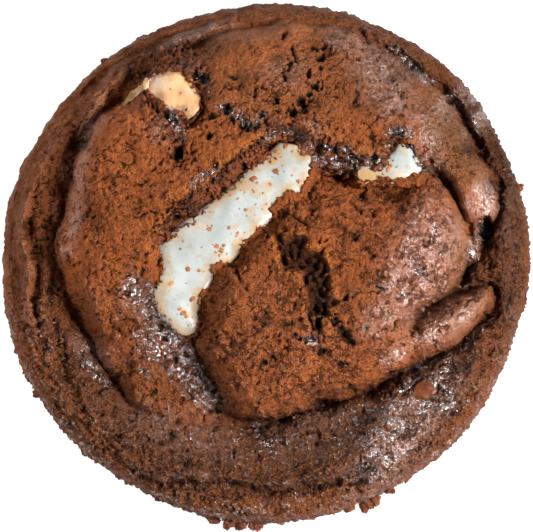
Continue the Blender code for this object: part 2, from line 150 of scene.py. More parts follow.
RIGHT_SEEN = [(357, 174), (366, 165), (375, 168), (382, 171), (388, 160), (393, 155), (399, 148), (409, 153), (414, 164),
              (422, 171), (413, 174), (406, 178), (394, 178), (378, 176.5), (373, 179), (364, 178)]
TOASTED_EDGES = ([(146, 86), (154, 77), (165, 73), (176, 72), (187, 79), (194, 91), (198, 104), (195, 115)],
                 [(148, 91), (155, 99), (162, 104), (170, 109), (178, 108), (184, 109), (188, 114), (191, 118)])
TOASTED_TOP = [18.0, 19.0, 20.2, 21.2, 22.0, 22.5, 22.9, 23.1]
TOASTED_SEEN = [(154, 77.5), (165, 74), (172, 72), (182.5, 74), (187, 81), (195.5, 93), (198, 105), (197, 112),
                (191, 119), (188, 113), (184, 107.5), (174, 108.5), (170, 110), (160, 103), (155, 98), (148, 91)]


# ---- curves, distances and fields ----------------------------------------------------------------------------------
def drawn(points):
    """Drawing units to millimetres right and up from the drawing's middle."""
    return [((x - 266) * UNIT, (266.5 - y) * UNIT) for x, y in points]


def placed(u, w, z):
    """From the tilted drawing plane and a height to the cookie's own axes, in metres."""
    x = u + SHIFT_X
    y = w / math.sin(ELEVATION) - z / math.tan(ELEVATION) + SHIFT_Y
    return np.stack([x, y, z + 0 * x], axis=-1) / 1000


def smooth_curve(points, closed, per=6):
    """A Catmull-Rom curve through the points."""
    p, n = np.array(points, float), len(points)
    found = []
    for i in range(n if closed else n - 1):
        if closed:
            a, b, c, d = p[i - 1], p[i], p[(i + 1) % n], p[(i + 2) % n]
        else:
            a, b, c, d = p[max(i - 1, 0)], p[i], p[i + 1], p[min(i + 2, n - 1)]
        for j in range(per):
            t = j / per
            found.append(0.5 * (2 * b + (c - a) * t + (2 * a - 5 * b + 4 * c - d) * t ** 2
                                + (3 * b - a - 3 * c + d) * t ** 3))
    if not closed:
        found.append(p[-1])
    return np.array(found)


def nearest(u, w, curve, closed=False):
    """Each point's distance to the curve, and how far along it that is, from 0 to 1."""
    a, b = (curve, np.roll(curve, -1, axis=0)) if closed else (curve[:-1], curve[1:])
    best, along = np.full(u.shape, 1e9), np.zeros(u.shape)
    for i, (p, q) in enumerate(zip(a, b)):
        e = q - p
        t = np.clip(((u - p[0]) * e[0] + (w - p[1]) * e[1]) / (e @ e + 1e-12), 0, 1)
        d = (u - p[0] - t * e[0]) ** 2 + (w - p[1] - t * e[1]) ** 2
        closer = d < best
        best, along = np.where(closer, d, best), np.where(closer, (i + t) / len(a), along)
    return np.sqrt(best), along


def signed(x, y, curve):
    """How far inside a closed curve each point lies, negative outside."""
    a, b = curve[:, 0], curve[:, 1]
    a2, b2 = np.roll(a, -1), np.roll(b, -1)
    within = np.zeros(x.shape, bool)
    for i in range(len(curve)):
        if b[i] != b2[i]:
            crosses = (b[i] > y) != (b2[i] > y)
            within ^= crosses & (x < (a2[i] - a[i]) * (y - b[i]) / (b2[i] - b[i]) + a[i])
    far, _ = nearest(x, y, curve, closed=True)
    return np.where(within, far, -far)


AXIS = np.arange(LOW, HIGH + 1.0)
PX, PY = np.meshgrid(AXIS, AXIS, indexing="ij")
U, W = (PX - 266) * UNIT, (266.5 - PY) * UNIT
ANGLE = np.arctan2(W, U)
AWAY = np.hypot(U, W)


def at(field, x, y):
    """The field's value at each place, in drawing units, between its four nearest nodes."""
    a, b = x - LOW, y - LOW
    i, j = (np.clip(np.floor(v).astype(int), 0, field.shape[0] - 2) for v in (a, b))
    a, b = np.clip(a - i, 0, 1), np.clip(b - j, 0, 1)
    return ((1 - a) * (1 - b) * field[i, j] + a * (1 - b) * field[i + 1, j] + (1 - a) * b * field[i, j + 1]
            + a * b * field[i + 1, j + 1])


def spread(coarse):
    """A field known at every other node, filled in between."""
    n = len(AXIS)
    full = np.empty((n, n))
    full[::2, ::2] = coarse
    full[1::2, ::2] = (full[:-2:2, ::2] + full[2::2, ::2]) / 2
    full[:, 1::2] = (full[:, :-2:2] + full[:, 2::2]) / 2
    return full


def depth_inside(outline, per=6):
    """The signed distance to an outline in mm over the whole field."""
    return spread(signed(PX[::2, ::2], PY[::2, ::2], smooth_curve(outline, True, per))) * UNIT


def softened(field, sigma):
    """Gaussian blur along both axes, sigma in nodes."""
    reach = int(3 * sigma + 1)
    kernel = np.exp(-0.5 * (np.arange(-reach, reach + 1) / sigma) ** 2)
    kernel /= kernel.sum()
    for axis in (0, 1):
        padded = np.pad(field, [(reach, reach) if a == axis else (0, 0) for a in (0, 1)], mode="edge")
        field = sum(k * np.take(padded, range(i, i + field.shape[axis]), axis=axis) for i, k in enumerate(kernel))
    return field


def ripple(seed, wave, band=0.45, angle=0.0, stretch=1.0):
    """Unit noise with humps about wave mm apart, longer by stretch along the angle (degrees)."""
    n = len(AXIS)
    noise = np.fft.rfft2(np.random.default_rng(seed).standard_normal((n, n)))
    a, b = np.fft.fftfreq(n, UNIT)[:, None], -np.fft.rfftfreq(n, UNIT)[None, :]
    c, s = math.cos(math.radians(angle)), math.sin(math.radians(angle))
    k = np.hypot((a * c + b * s) * stretch, -a * s + b * c) * wave
    out = np.fft.irfft2(noise * np.exp(-((k - 1) / band) ** 2), s=(n, n))
    return out / out.std()


def step(low, high, v):
    t = np.clip((v - low) / (high - low), 0, 1)
    return t * t * (3 - 2 * t)


def shoulder(depth, wide, power=2.1):
    """A rounded edge: 0 at the outline, 1 from wide inwards."""
    t = np.clip(depth / wide, 0, 1)
    return (1 - (1 - t) ** power) ** (1 / power)


def soft_max(a, b, k):
    h = np.clip(0.5 + 0.5 * (a - b) / k, 0, 1)
    return b * (1 - h) + a * h + k * h * (1 - h)


def crown(spots, reach):
    """A smooth surface near all the given spot heights."""
    total, weight = 0, 1e-12
    for x, y, z in spots:
        (a, b), = drawn([(x, y)])
        k = np.exp(-((U - a) ** 2 + (W - b) ** 2) / (2 * reach ** 2))
        total, weight = total + k * z, weight + k
    return total / weight


def round_table(angle, table):
    return np.interp(np.degrees(angle) % 360, [a for a, _ in table], [v for _, v in table], period=360)


def rim_radius(angle):
    r = RADIUS + 0.75 * np.cos(angle - math.radians(48)) + 0.35 * np.cos(2 * (angle - math.radians(55)))
    r = r + 0.35 * np.cos(3 * angle + 1.0) + 0.22 * np.cos(5 * angle + 2.2) + 0.15 * np.cos(9 * angle)
    return r - 1.1 * np.clip(-np.sin(angle), 0, 1) + round_table(angle, UNEVEN)


# ---- noise in space -----------------------------------------------------------------------------------------------
def hashed(i, j, k, seed):
    """A whole number from 0 to 2**31 for each cell."""
    h = (i * 374761393 + j * 668265263 + k * 2147483647 + seed * 1442695041) & 0xFFFFFFFF
    h = ((h ^ (h >> 13)) * 1274126177) & 0xFFFFFFFF
    h = ((h ^ (h >> 16)) * 2246822519) & 0xFFFFFFFF
    return (h ^ (h >> 15)) & 0x7FFFFFFF


def lumps(p, wave, seed):
    """Smooth gradient noise about -1 to 1 at points in mm, with humps about wave mm apart."""
    q = p / wave * 1.3 + seed * 7.31
    i = np.floor(q).astype(np.int64)
    f = q - i
    s = f * f * f * (f * (f * 6 - 15) + 10)
    total = 0
    for c in range(8):
        d = np.array([c & 1, c >> 1 & 1, c >> 2 & 1])
        h = hashed(*(i + d).T, seed)
        z = (h & 1023) / 511.5 - 1
        a = (h >> 10 & 1023) * (2 * math.pi / 1024)
        r = np.sqrt(np.clip(1 - z * z, 0, 1))
        g = np.stack([r * np.cos(a), r * np.sin(a), z], 1)
        total = total + np.prod(np.where(d, s, 1 - s), 1) * ((f - d) * g).sum(1)
    return total * 1.7


def grains(p, size, seed):
    """Distance to the nearest of the scattered grain centres, 0 at a centre and about 1 between grains."""
    q = p / size + seed * 3.77
    i = np.floor(q).astype(np.int64)
    best = np.full(len(q), 9.0)
    for a in (-1, 0, 1):
        for b in (-1, 0, 1):
            for c in (-1, 0, 1):
                cell = i + np.array([a, b, c])
                h = hashed(*cell.T, seed)
                o = np.stack([h & 1023, h >> 10 & 1023, h >> 20 & 1023], 1) / 1023
                best = np.minimum(best, ((cell + o - q) ** 2).sum(1))
    return np.sqrt(best)


def gaps(p, size, seed):
    """0 on the borders between scattered cells, growing to about 1 at their middles."""
    q = p / size + seed * 2.93
    i = np.floor(q).astype(np.int64)
    best, second = np.full(len(q), 9.0), np.full(len(q), 9.0)
    for a in (-1, 0, 1):
        for b in (-1, 0, 1):
            for c in (-1, 0, 1):
                cell = i + np.array([a, b, c])
                h = hashed(*cell.T, seed)
                o = np.stack([h & 1023, h >> 10 & 1023, h >> 20 & 1023], 1) / 1023
                d = np.sqrt(((cell + o - q) ** 2).sum(1))
                second = np.minimum(second, np.maximum(best, d))
                best = np.minimum(best, d)
    return second - best


# ---- painting on the fields ----------------------------------------------------------------------------------------
def window(x0, x1, y0, y1):
    a, b = (int(np.clip(v - LOW, 0, len(AXIS) - 2)) for v in (math.floor(x0), math.floor(y0)))
    c, d = (int(np.clip(v - LOW + 1, 1, len(AXIS))) for v in (math.ceil(x1), math.ceil(y1)))
    return slice(a, max(c, a + 1)), slice(b, max(d, b + 1))


def stroke(field, points, half, value=1.0, smooth=True, taper=False, mode="max", ragged=0.0):
    """Paints a soft line into a field: value at its middle, fading over half (drawing units)."""
    curve = smooth_curve(points, False, 5) if smooth and len(points) > 2 else np.array(points, float)
    reach = 2.6 * half + 1
    s = window(curve[:, 0].min() - reach, curve[:, 0].max() + reach, curve[:, 1].min() - reach,
               curve[:, 1].max() + reach)
    far, t = nearest(PX[s], PY[s], curve)
    if ragged:
        far = far + ragged * RAGGED[s]
    v = value * np.exp(-np.clip(far / half, 0, 9) ** 2)
    if taper:
        v = v * np.clip(4 * t * (1 - t), 0, 1) ** 0.5
    field[s] = np.maximum(field[s], v) if mode == "max" else field[s] + v


def blob(field, x, y, rx, ry, value=1.0, angle=0.0, edge=0.35, mode="max", ragged=0.25):
    """Paints an uneven oval: value inside, falling to 0 over the edge share of its radius."""
    reach = 1.6 * max(rx, ry) + 2
    s = window(x - reach, x + reach, y - reach, y + reach)
    c, n = math.cos(math.radians(angle)), math.sin(math.radians(angle))
    a, b = PX[s] - x, -(PY[s] - y)
    r = np.hypot((a * c + b * n) / rx, (-a * n + b * c) / ry) * (1 + ragged * RAGGED[s])
    v = value * step(1 + edge, 1 - edge, r)
    field[s] = np.maximum(field[s], v) if mode == "max" else field[s] + v


RAGGED = ripple(11, 1.3) * 0.5 + ripple(12, 0.7) * 0.3


# ---- the filling's surfaces --------------------------------------------------------------------------------------------
def filling_points(edges, tops, wider, along, around, seed, thick=3.6):
    """Rings of points round a melted body: a low crown over a shallow rounded underside. Returns u, w, z per ring."""
    rails = [smooth_curve(drawn(line), False, 12) for line in edges]
    share = np.linspace(0, 1, len(rails[0]))
    t = np.linspace(0, 1, along)
    a, b = (np.stack([np.interp(t, share, r[:, 0]), np.interp(t, share, r[:, 1])], 1) for r in rails)
    middle, across = (a + b) / 2, (b - a) / 2
    half = np.hypot(*across.T)
    across = across / half[:, None]
    ends = 1 - np.clip(1 - np.minimum(t, 1 - t) * along / 10, 0, 1) ** 2
    half = (half + wider) * (0.35 + 0.65 * ends)
    top = np.interp(t, np.linspace(0, 1, len(tops)), tops)
    turn = np.linspace(0, 2 * math.pi, around, endpoint=False)
    side = np.sign(np.cos(turn)) * np.abs(np.cos(turn)) ** 0.75
    lift = np.sin(turn)
    u, w = (middle[:, None, k] + across[:, None, k] * half[:, None] * side for k in (0, 1))
    edge = top[:, None] - FILLING_CROWN
    z = edge + np.where(lift > 0, FILLING_CROWN, thick) * lift
    p = np.stack([u, w, z], -1).reshape(-1, 3)
    up = np.clip(lift, 0, 1) ** 0.5
    soft = 0.50 * lumps(p, 6.5, seed) + 0.13 * lumps(p, 3.4, seed + 1) + 0.02 * lumps(p, 1.4, seed + 2)
    return u, w, z + soft.reshape(u.shape) * up


FILLINGS = {
    "filling_main": (MAIN_EDGES, MAIN_TOP, MAIN_SEEN, 420, 150, 21, "marshmallow_main"),
    "filling_right": (RIGHT_EDGES, RIGHT_TOP, RIGHT_SEEN, 190, 130, 31, "marshmallow_right"),
    "filling_toasted": (TOASTED_EDGES, TOASTED_TOP, TOASTED_SEEN, 190, 130, 41, "marshmallow_toasted"),
}
SURFACE = {}
FILLED = np.full(PX.shape, -99.0)       # the highest filling surface at each node
for name, (edges, tops, _, along, around, seed, _) in FILLINGS.items():
    u, w, z = filling_points(edges, tops, 1.0, along, around, seed)
    SURFACE[name] = (u, w, z)
    i = np.rint(u / UNIT + 266 - LOW).astype(int).ravel()
    j = np.rint(266.5 - w / UNIT - LOW).astype(int).ravel()
    np.maximum.at(FILLED, (i, j), z.ravel())
for _ in range(3):                      # closes single nodes the points missed
    around_it = np.maximum.reduce([np.roll(FILLED, s, a) for s in (-1, 1) for a in (0, 1)])
    FILLED = np.where(FILLED < -50, around_it, FILLED)
FILLING_TOP = np.where(FILLED > -50, FILLED, 0)


# ---- the form of the dough -------------------------------------------------------------------------------------------
def nudged(field, amount, seed, wave):
    """The field read at places pushed about by noise, which roughens the outlines in it."""
    return at(field, PX + amount * ripple(seed, wave), PY + amount * ripple(seed + 1, wave))


upper, right, front, tongue = (depth_inside(o) for o in (UPPER, RIGHT, FRONT, TONGUE))
upper, right, tongue, front = (nudged(nudged(d, 0.9, 50 + i, 8.0), 0.22, 55 + i, 2.4)
                               for i, d in enumerate((upper, right, tongue, front)))
EDGE = rim_radius(ANGLE) - AWAY
# outside the rim the field repeats the rim's own edge
held = np.minimum(1, (rim_radius(ANGLE) - 0.25) / np.maximum(AWAY, 1e-6))

H = EDGE_Z + (round_table(ANGLE, RIM_TOP) - EDGE_Z) * shoulder(np.maximum(EDGE, 0.0), round_table(ANGLE, RIM_WIDE))
(cx, cy), = drawn([(182, 425)])
fade = np.exp(-((U - cx) / 7.5) ** 2 - ((W - cy) / 4.5) ** 2)
beyond = np.clip(-np.maximum.reduce([upper, right, front, tongue]), 0, None)
deep, wide = round_table(ANGLE, CREASE_DEEP), round_table(ANGLE, CREASE_WIDE)
H = H - (1 - fade) * (deep * np.exp(-(beyond / wide) ** 1.2) + 0.25 * deep * np.exp(-beyond / 6)
                      + 0.3 * deep * np.exp(-(beyond / 0.7) ** 2))
fold = 8 + (crown(RIGHT_SPOTS, 7) - 8) * shoulder(right, 8)
H = np.where(right > 0, soft_max(fold, H, 0.4), H)
fold = 7.5 + (crown(TONGUE_SPOTS, 5) - 7.5) * shoulder(tongue, 5.5)
H = np.where(tongue > 0, np.maximum(fold, H), H)
low = 9 + 3.5 * fade
fold = low + (crown(UPPER_SPOTS, 8) - low) * shoulder(upper, 11)
H = np.where(upper > 0, soft_max(fold, H, 0.6), H)
H = H - 2.4 * np.exp(np.clip(front, None, 0) / 1.1) * (front < 0) * (1 - 0.75 * step(-1.2, 0.6, tongue))
fold = 10 + (crown(FRONT_SPOTS, 8) - 10) * shoulder(front, 10)
H = np.where(front > 0, fold, H)
joined = np.exp(-((PX - 414) / 15) ** 2 - ((PY - 343) / 15) ** 2)
H = H + joined * (softened(H, 7) - H)
# each fold's crest and groove, kept for the colour: a painted highlight along the crests, painted shade in the grooves
ridge, groove = np.zeros(PX.shape), np.zeros(PX.shape)
for line, half, depth in GROOVES:
    far, t = (spread(v) for v in nearest(PX[::2, ::2], PY[::2, ::2], smooth_curve(line, False)))
    ends = np.clip(2.5 * np.sin(math.pi * np.clip(t, 0.02, 0.98)), 0, 1) * np.clip(EDGE / 1.5, 0, 1)
    profile = ends * np.exp(-(far * UNIT / half) ** (1.5 if depth > 0 else 2.0))
    H = H - depth * profile
    if depth < 0:
        ridge = np.maximum(ridge, profile * min(-depth / 1.5, 1))
    else:
        groove = np.maximum(groove, profile * min(depth / 1.8, 1))
# the dough that fills the bottom of the fold left of the front mass
far, t = (spread(v) for v in nearest(PX[::2, ::2], PY[::2, ::2],
                                     smooth_curve([(148, 286), (164, 318), (182, 348), (202, 380), (222, 410)], False)))
bed = np.interp(t, [0, 0.25, 0.5, 0.75, 1], [17.8, 16.8, 15.6, 14.2, 12.4]) - 1.3 * np.clip(far * UNIT - 1.6, 0, None)
H = np.maximum(H, bed)
H = softened(H, 1.1)

# the damp crumb that bridges the folds between the two openings
GOO = [(301, 158), (310, 150), (322, 147), (340, 150), (356, 154), (372, 158), (384, 162), (381, 171), (366, 177),
       (350, 180), (330, 177), (314, 173), (305, 167)]
goo = nudged(depth_inside(GOO, 4), 0.8, 85, 2.4)
H = np.where(goo > 0, np.maximum(H, 18.0 + 2.2 * shoulder(goo, 2.2) + 0.35 * ripple(87, 2.0)), H)

# ---- masks ----------------------------------------------------------------------------------------------------------
torn, crust, wet, relief, pit, smooth, tan, gloss_and_sheen = (np.zeros(PX.shape) for _ in range(8))

# round the filling: a ledge at the filling's edge, then the torn wall up to the crust
seen = {n: nudged(depth_inside(f[2], 5), 1.0, 70 + 3 * i, 1.1) for i, (n, f) in enumerate(FILLINGS.items())}
opening = np.maximum.reduce(list(seen.values()))
for name, (edges, tops, _, _, _, _, _) in FILLINGS.items():
    middle = [((a + c) / 2, (b + d) / 2) for (a, b), (c, d) in zip(*edges)]
    _, t = (spread(v) for v in nearest(PX[::2, ::2], PY[::2, ::2], smooth_curve(middle, False)))
    beside = np.interp(t, np.linspace(0, 1, len(tops)), tops) - FILLING_CROWN - PROUD
    out = np.clip(-seen[name], 0, None)
    near = out < 5
    H = np.where(near, np.maximum(H, beside - 1.0 * out), H)
    H = np.where(near, np.minimum(H, beside + 1.0 + 1.7 * np.clip(out - 0.7, 0, None)), H)
hidden = (FILLED > -50) & (opening <= 0)
H = np.where(hidden, np.maximum(H, FILLING_TOP + 0.18 + 0.35 * step(0, 0.8, -opening)), H)
H = np.where(opening > 0, np.minimum(H, np.where(FILLED > -50, FILLING_TOP, H) - 2.2 * step(0, 0.45, opening)), H)

BAND = [(150, 246), (158, 229), (176, 204), (190, 190), (209, 180), (217, 172), (222, 165), (231, 157), (244, 148),
        (257, 140), (263, 138), (272, 142), (281, 151), (281, 161), (265, 163), (252, 169), (242, 183), (228, 194),
        (213, 204), (197, 224), (180, 228), (173, 242), (161, 247)]
band = nudged(depth_inside(BAND, 4), 1.2, 90, 1.4)
torn = np.maximum(torn, step(-0.2, 0.5, band))
stroke(crust, BAND[:12], 5.0, ragged=2.5)
stroke(crust, [(340, 140), (352, 146), (366, 150), (378, 152)], 5, 0.7, ragged=2.5)
stroke(crust, [(193, 336), (200, 322), (200, 305), (208, 290), (216, 276), (232, 262), (244, 250)], 3, 0.5, ragged=2.0)
relief -= 0.5 * step(-0.1, 0.4, band) * np.exp(-((band - 0.7) / 0.9) ** 2)

# the crumbly edge above the openings
for line, half, v in (([(262, 130), (276, 124), (290, 126), (302, 133), (316, 141), (332, 147), (346, 150)], 7, 0.9),
                      ([(300, 116), (318, 126), (334, 136), (350, 143), (368, 147), (386, 143)], 6, 0.45)):
    stroke(torn, line, half, v, ragged=3.0)
stroke(crust, [(258, 122), (272, 116), (288, 117), (304, 124), (320, 132), (338, 140)], 5, 0.6, ragged=3.0)

# the torn hollow round the toasted filling
NOTCH = [(200, 52), (170, 57), (152, 69), (138, 86), (127, 104), (142, 108), (155, 114), (165, 126), (174, 148),
         (186, 150), (190, 128), (202, 112), (214, 96), (210, 76)]
notch = nudged(depth_inside(NOTCH, 4), 1.5, 93, 2.0)
torn = np.maximum(torn, 0.85 * step(-0.6, 0.9, notch))

HOLE = [(276.6, 233), (282, 238), (294, 236), (306, 239), (303, 248), (313.6, 251.5), (322, 253), (323, 260),
        (327, 267), (328, 277), (327, 289), (324.5, 296), (329, 300), (336.6, 302), (329, 306), (328, 313),
        (320, 314.5), (311, 310), (310, 296), (305, 284), (303, 270), (294, 267), (286, 267), (280, 258), (277, 245)]
hole = softened(nudged(depth_inside(HOLE, 4) + 0.35, 0.6, 96, 1.6), 1.0)
relief -= 2.3 * step(-0.5, 0.8, hole) * (0.85 + 0.25 * ripple(95, 1.8))
pit = np.maximum(pit, 0.55 * step(0.2, 1.2, hole))
for line in ([(310, 246), (317, 249), (326, 252), (329, 262), (333, 275), (332, 290), (340, 300)],
             [(336, 306), (330, 317), (320, 320), (310, 316)], [(272, 236), (276, 250), (284, 270), (298, 276)],
             [(300, 290), (303, 302), (305, 314)], [(322, 322), (331, 327), (330, 290)], [(280, 230), (296, 232), (308, 236)]):
    stroke(crust, line, 3.2, 0.9, ragged=1.6)

torn = np.maximum(torn, 0.9 * step(-0.3, 0.8, goo))

# glossy damp patches
for line, half in [
    ([(266, 138), (284, 131), (298, 137), (307, 146), (320, 146), (331, 150), (345, 153)], 5),
    ([(318, 158), (330, 163), (345, 163), (360, 162), (376, 162)], 9),
    ([(382, 160), (388, 152), (391, 143)], 4),
    ([(389, 132), (400, 130), (411, 134)], 5),
    ([(413, 150), (420, 160), (428, 170)], 5),
    ([(150, 284), (155, 300), (162, 318), (172, 332), (184, 345), (196, 362), (206, 382), (218, 402)], 5),
    ([(134, 288), (140, 300), (146, 314)], 4), ([(151, 348), (160, 361), (172, 374)], 5),
    ([(186, 379), (194, 390), (201, 400)], 4), ([(142, 368), (150, 376)], 3),
    ([(484, 226), (480, 240), (472, 260), (468, 272)], 6),
    ([(80, 352), (92, 368), (108, 384)], 5), ([(258, 426), (264, 438), (270, 448)], 5),
    ([(396, 50), (412, 64), (430, 82)], 5), ([(406, 384), (428, 372), (449, 362)], 5),
    ([(404, 372), (425, 364), (455, 350), (472, 338)], 4), ([(435, 406), (444, 400), (454, 388)], 5),
    ([(196, 74), (206, 78)], 5), ([(404, 393), (412, 380), (430, 372), (450, 366)], 8), ([(440, 384), (448, 396), (452, 408)], 8),
    ([(424, 404), (436, 406), (446, 408)], 6),
    ([(132, 284), (140, 300), (150, 320), (165, 340)], 10), ([(152, 302), (166, 330), (186, 360)], 9),
    ([(150, 346), (166, 356), (184, 374), (200, 394), (212, 404)], 13), ([(142, 334), (156, 350), (170, 366)], 8), ([(222, 108), (234, 113), (246, 122)], 5), ([(250, 126), (264, 114)], 4),
    ([(170, 112), (176, 124), (180, 134)], 6), ([(192, 186), (205, 176), (217, 168)], 4),
]:
    stroke(wet, line, half, ragged=2.5)
slick = np.zeros(PX.shape)
for line, half in (([(404, 390), (411, 381), (420, 374), (434, 369), (448, 363)], 5), ([(441, 380), (447, 392), (450, 404)], 5),
                   ([(428, 404), (438, 406), (446, 407)], 4), ([(158, 352), (172, 360), (184, 372)], 5)):
    stroke(slick, line, half, ragged=2.0)
wet = np.clip(wet * (0.9 + 0.35 * ripple(97, 1.4)) * 1.25 - 0.15, 0, 1)
wet = np.maximum(wet, 0.35 * torn * step(0.2, 1.4, ripple(98, 1.1)))

# the skin is moister, and shines, in these places; the same mask also greys the colour there as painted sheen
for x, y, rx, ry, angle, v in [
    (419, 268, 66, 30, 68, 1.0), (380, 318, 24, 16, 40, 0.8), (484, 200, 15, 18, 0, 1.0), (444, 318, 42, 18, 32, 0.85),
    (402, 432, 66, 24, 49, 0.95), (440, 385, 30, 26, 49, 0.6), (398, 351, 22, 8, 30, 0.9), (384, 85, 50, 22, -58, 0.5), (425, 140, 30, 14, -60, 0.6),
    (60, 237, 7, 22, 0, 0.35), (180, 345, 34, 14, -50, 0.5), (130, 290, 10, 20, -10, 0.5), (320, 430, 50, 26, 20, 0.15),
    (200, 35, 34, 7, 15, 0.35), (312, 340, 9, 7, 0, 0.9), (286, 75, 22, 16, 0, 0.3), (312, 128, 12, 8, 0, 0.5),
    (160, 130, 12, 14, 0, 0.35), (450, 100, 10, 26, -50, 0.4), (484, 118, 10, 22, -50, 0.7), (470, 250, 9, 14, 0, 0.8),
    (90, 350, 22, 12, -40, 0.6), (150, 430, 30, 14, -20, 0.25), (345, 42, 20, 9, -30, 0.4),
    (512, 240, 10, 90, 0, 0.2), (474, 92, 12, 42, -50, 0.45), (185, 430, 60, 20, -25, 0.3), (70, 180, 8, 30, 0, 0.3),
]:
    blob(gloss_and_sheen, x, y, rx, ry, v, angle, 0.65, ragged=0.12)
stroke(gloss_and_sheen, [(103, 112), (88, 130), (82, 155), (78, 185), (74, 215), (66, 250)], 8, 0.7)
gloss_and_sheen = np.clip(gloss_and_sheen * (0.92 + 0.16 * ripple(99, 4.0)), 0, 1)

# a greyer, paler brown on the right fold, the stretched edges and the tongue: painted sheen
for x, y, rx, ry, angle, v in [(455, 140, 60, 20, -55, 1.0), (395, 60, 36, 18, -35, 0.6), (458, 240, 9, 50, 0, 0.7),
                               (270, 32, 80, 9, 5, 0.4), (445, 175, 24, 12, -40, 0.8), (290, 85, 90, 45, 0, 0.35),
                               (446, 320, 50, 20, 32, 0.30)]:
    blob(tan, x, y, rx, ry, v, angle, 0.6, ragged=0.12)
tan = np.clip(softened(tan, 3), 0, 1)

# cracks: line, half width in drawing units, depth in mm
for line, half, depth in [
    ([(339, 325), (342, 330), (346, 336), (351, 341), (356, 344)], 3.2, 2.2), ([(375, 285), (381, 288), (387, 291)], 1.6, 1.2),
    ([(394, 297), (398, 300), (402, 303)], 1.6, 1.2), ([(349, 202), (354, 207), (362, 213)], 1.2, 0.8),
    ([(236, 265), (238, 274), (241, 283)], 1.1, 0.7), ([(292, 43), (294, 53), (297, 64)], 1.3, 1.1),
    ([(134, 154), (134, 162)], 1.1, 0.6), ([(131, 210), (138, 207), (148, 205)], 1.1, 0.6),
    ([(150, 192), (152, 198)], 1.1, 0.6), ([(144, 252), (148, 258)], 1.2, 0.6), ([(118, 329), (123, 335)], 1.3, 0.8),
    ([(80, 218), (84, 222)], 1.1, 0.6), ([(44, 150), (48, 154)], 1.1, 0.6), ([(168, 432), (176, 436)], 1.4, 0.9),
    ([(156, 442), (164, 444)], 1.2, 0.7), ([(178, 455), (186, 459)], 1.3, 0.8), ([(73, 399), (78, 404)], 1.2, 0.7),
    ([(287, 213), (296, 217), (307, 225)], 1.6, 0.8), ([(318, 300), (310, 312), (311, 322), (322, 334), (334, 338)], 1.6, 1.0),
]:
    stroke(pit, line, half, 1.0, taper=True, ragged=0.8)
    cut = np.zeros(PX.shape)
    stroke(cut, line, half, depth, taper=True, ragged=0.8)
    relief -= cut

# pits: x, y, width, height, depth in mm, tilt
for x, y, wide, tall, depth, tilt in [
    (318, 323, 5, 10, 2.2, 0), (335, 321, 8, 8, 1.5, 0), (311, 339, 14, 5, 1.2, -10), (322, 350, 8, 5, 1.0, 0),
    (345, 297.5, 5, 4, 1.0, 0), (341, 365, 8, 6, 1.1, 0), (351, 386, 4, 6, 1.0, 0), (366, 327, 6, 3, 0.9, 0),
    (300, 319, 4, 3, 0.7, 0), (286, 324, 8, 3, 0.8, 10), (264, 362, 6, 4, 0.9, 0), (272, 356, 4, 3, 0.8, 0),
    (294, 306, 2.5, 6, 0.7, 0), (295, 335, 4, 4, 0.8, 0), (362, 194.5, 4, 8, 1.2, -20), (355, 238, 5, 3, 0.8, 0),
    (284, 35, 5, 4, 0.8, 40), (314, 46.6, 5, 4, 0.9, 0), (324, 46, 5, 4, 0.8, 30), (321, 57, 9, 5, 1.2, 15),
    (321, 68, 3, 5, 0.7, 0), (308, 74, 4, 8, 1.1, 0), (315, 86, 6, 7, 1.3, 20), (309, 94, 5, 4, 0.8, 0),
    (302, 101, 8, 8, 1.3, 0), (292.5, 112, 7, 10, 2.2, 15), (277, 100, 4, 7, 1.2, 20), (255, 94, 2.5, 9, 0.8, -10),
    (232, 76, 7, 3, 0.7, -15), (285, 77.5, 2.5, 8, 0.8, 20), (267, 124, 3, 3, 0.6, 0), (178, 152, 8, 13, 2.4, -25),
    (200, 76, 12, 8, 2.2, -10), (209, 136, 6, 6, 1.0, 0), (211, 116, 8, 6, 1.1, 0), (227, 109, 9, 8, 1.6, 0),
    (232, 118, 6, 5, 1.1, 0), (244, 124, 10, 7, 1.3, 0), (255, 126, 10, 5, 1.4, 0), (262, 114, 5, 6, 1.0, 0),
    (400, 132, 9, 7, 1.3, 0), (411, 150, 6, 9, 1.2, 20), (488, 231, 7, 20, 1.4, -12), (352, 160, 8, 7, 1.3, 0),
    (374, 158, 6, 8, 1.2, 0), (334, 152, 7, 6, 1.2, 0), (170, 118, 9, 6, 1.3, -40), (304, 109, 5, 6, 1.0, 0),
    (451, 100, 5, 4, 0.4, 0), (470, 84, 4, 3, 0.6, 0), (290, 62, 2.5, 3, 0.4, 0), (337, 97, 3, 3, 0.6, 0),
    (283, 213, 9, 5, 0.7, 30), (391, 374, 5, 3, 0.8, 30),
]:
    cut = np.zeros(PX.shape)
    blob(cut, x, y, wide / 2 + 0.5, tall / 2 + 0.5, 1.0, tilt, 0.4, ragged=0.4)
    relief -= depth * cut
    pit = np.maximum(pit, cut)

# how smooth the skin is: 1 on the stretched flanks, 0 where it is cracked and grainy
for x, y, rx, ry, v in [(70, 230, 16, 80, 0.30), (120, 130, 35, 50, 0.35), (262, 30, 90, 12, 0.8), (222, 320, 16, 50, 0.35),
                        (430, 100, 26, 60, 0.5), (480, 200, 25, 35, 0.5), (470, 310, 30, 26, 0.35), (455, 230, 12, 60, 0.8),
                        (240, 400, 30, 20, 0.35), (350, 400, 60, 9, 0.5), (150, 240, 20, 30, 0.3), (250, 60, 45, 25, 0.5)]:
    blob(smooth, x, y, rx, ry, v, 0, 0.6, ragged=0.1)
smooth = np.maximum(smooth, 0.65 * step(6.5, 2.0, EDGE) * step(-20, 0, W) * step(30, 0, U))
smooth = np.clip(softened(smooth, 5), 0, 1)

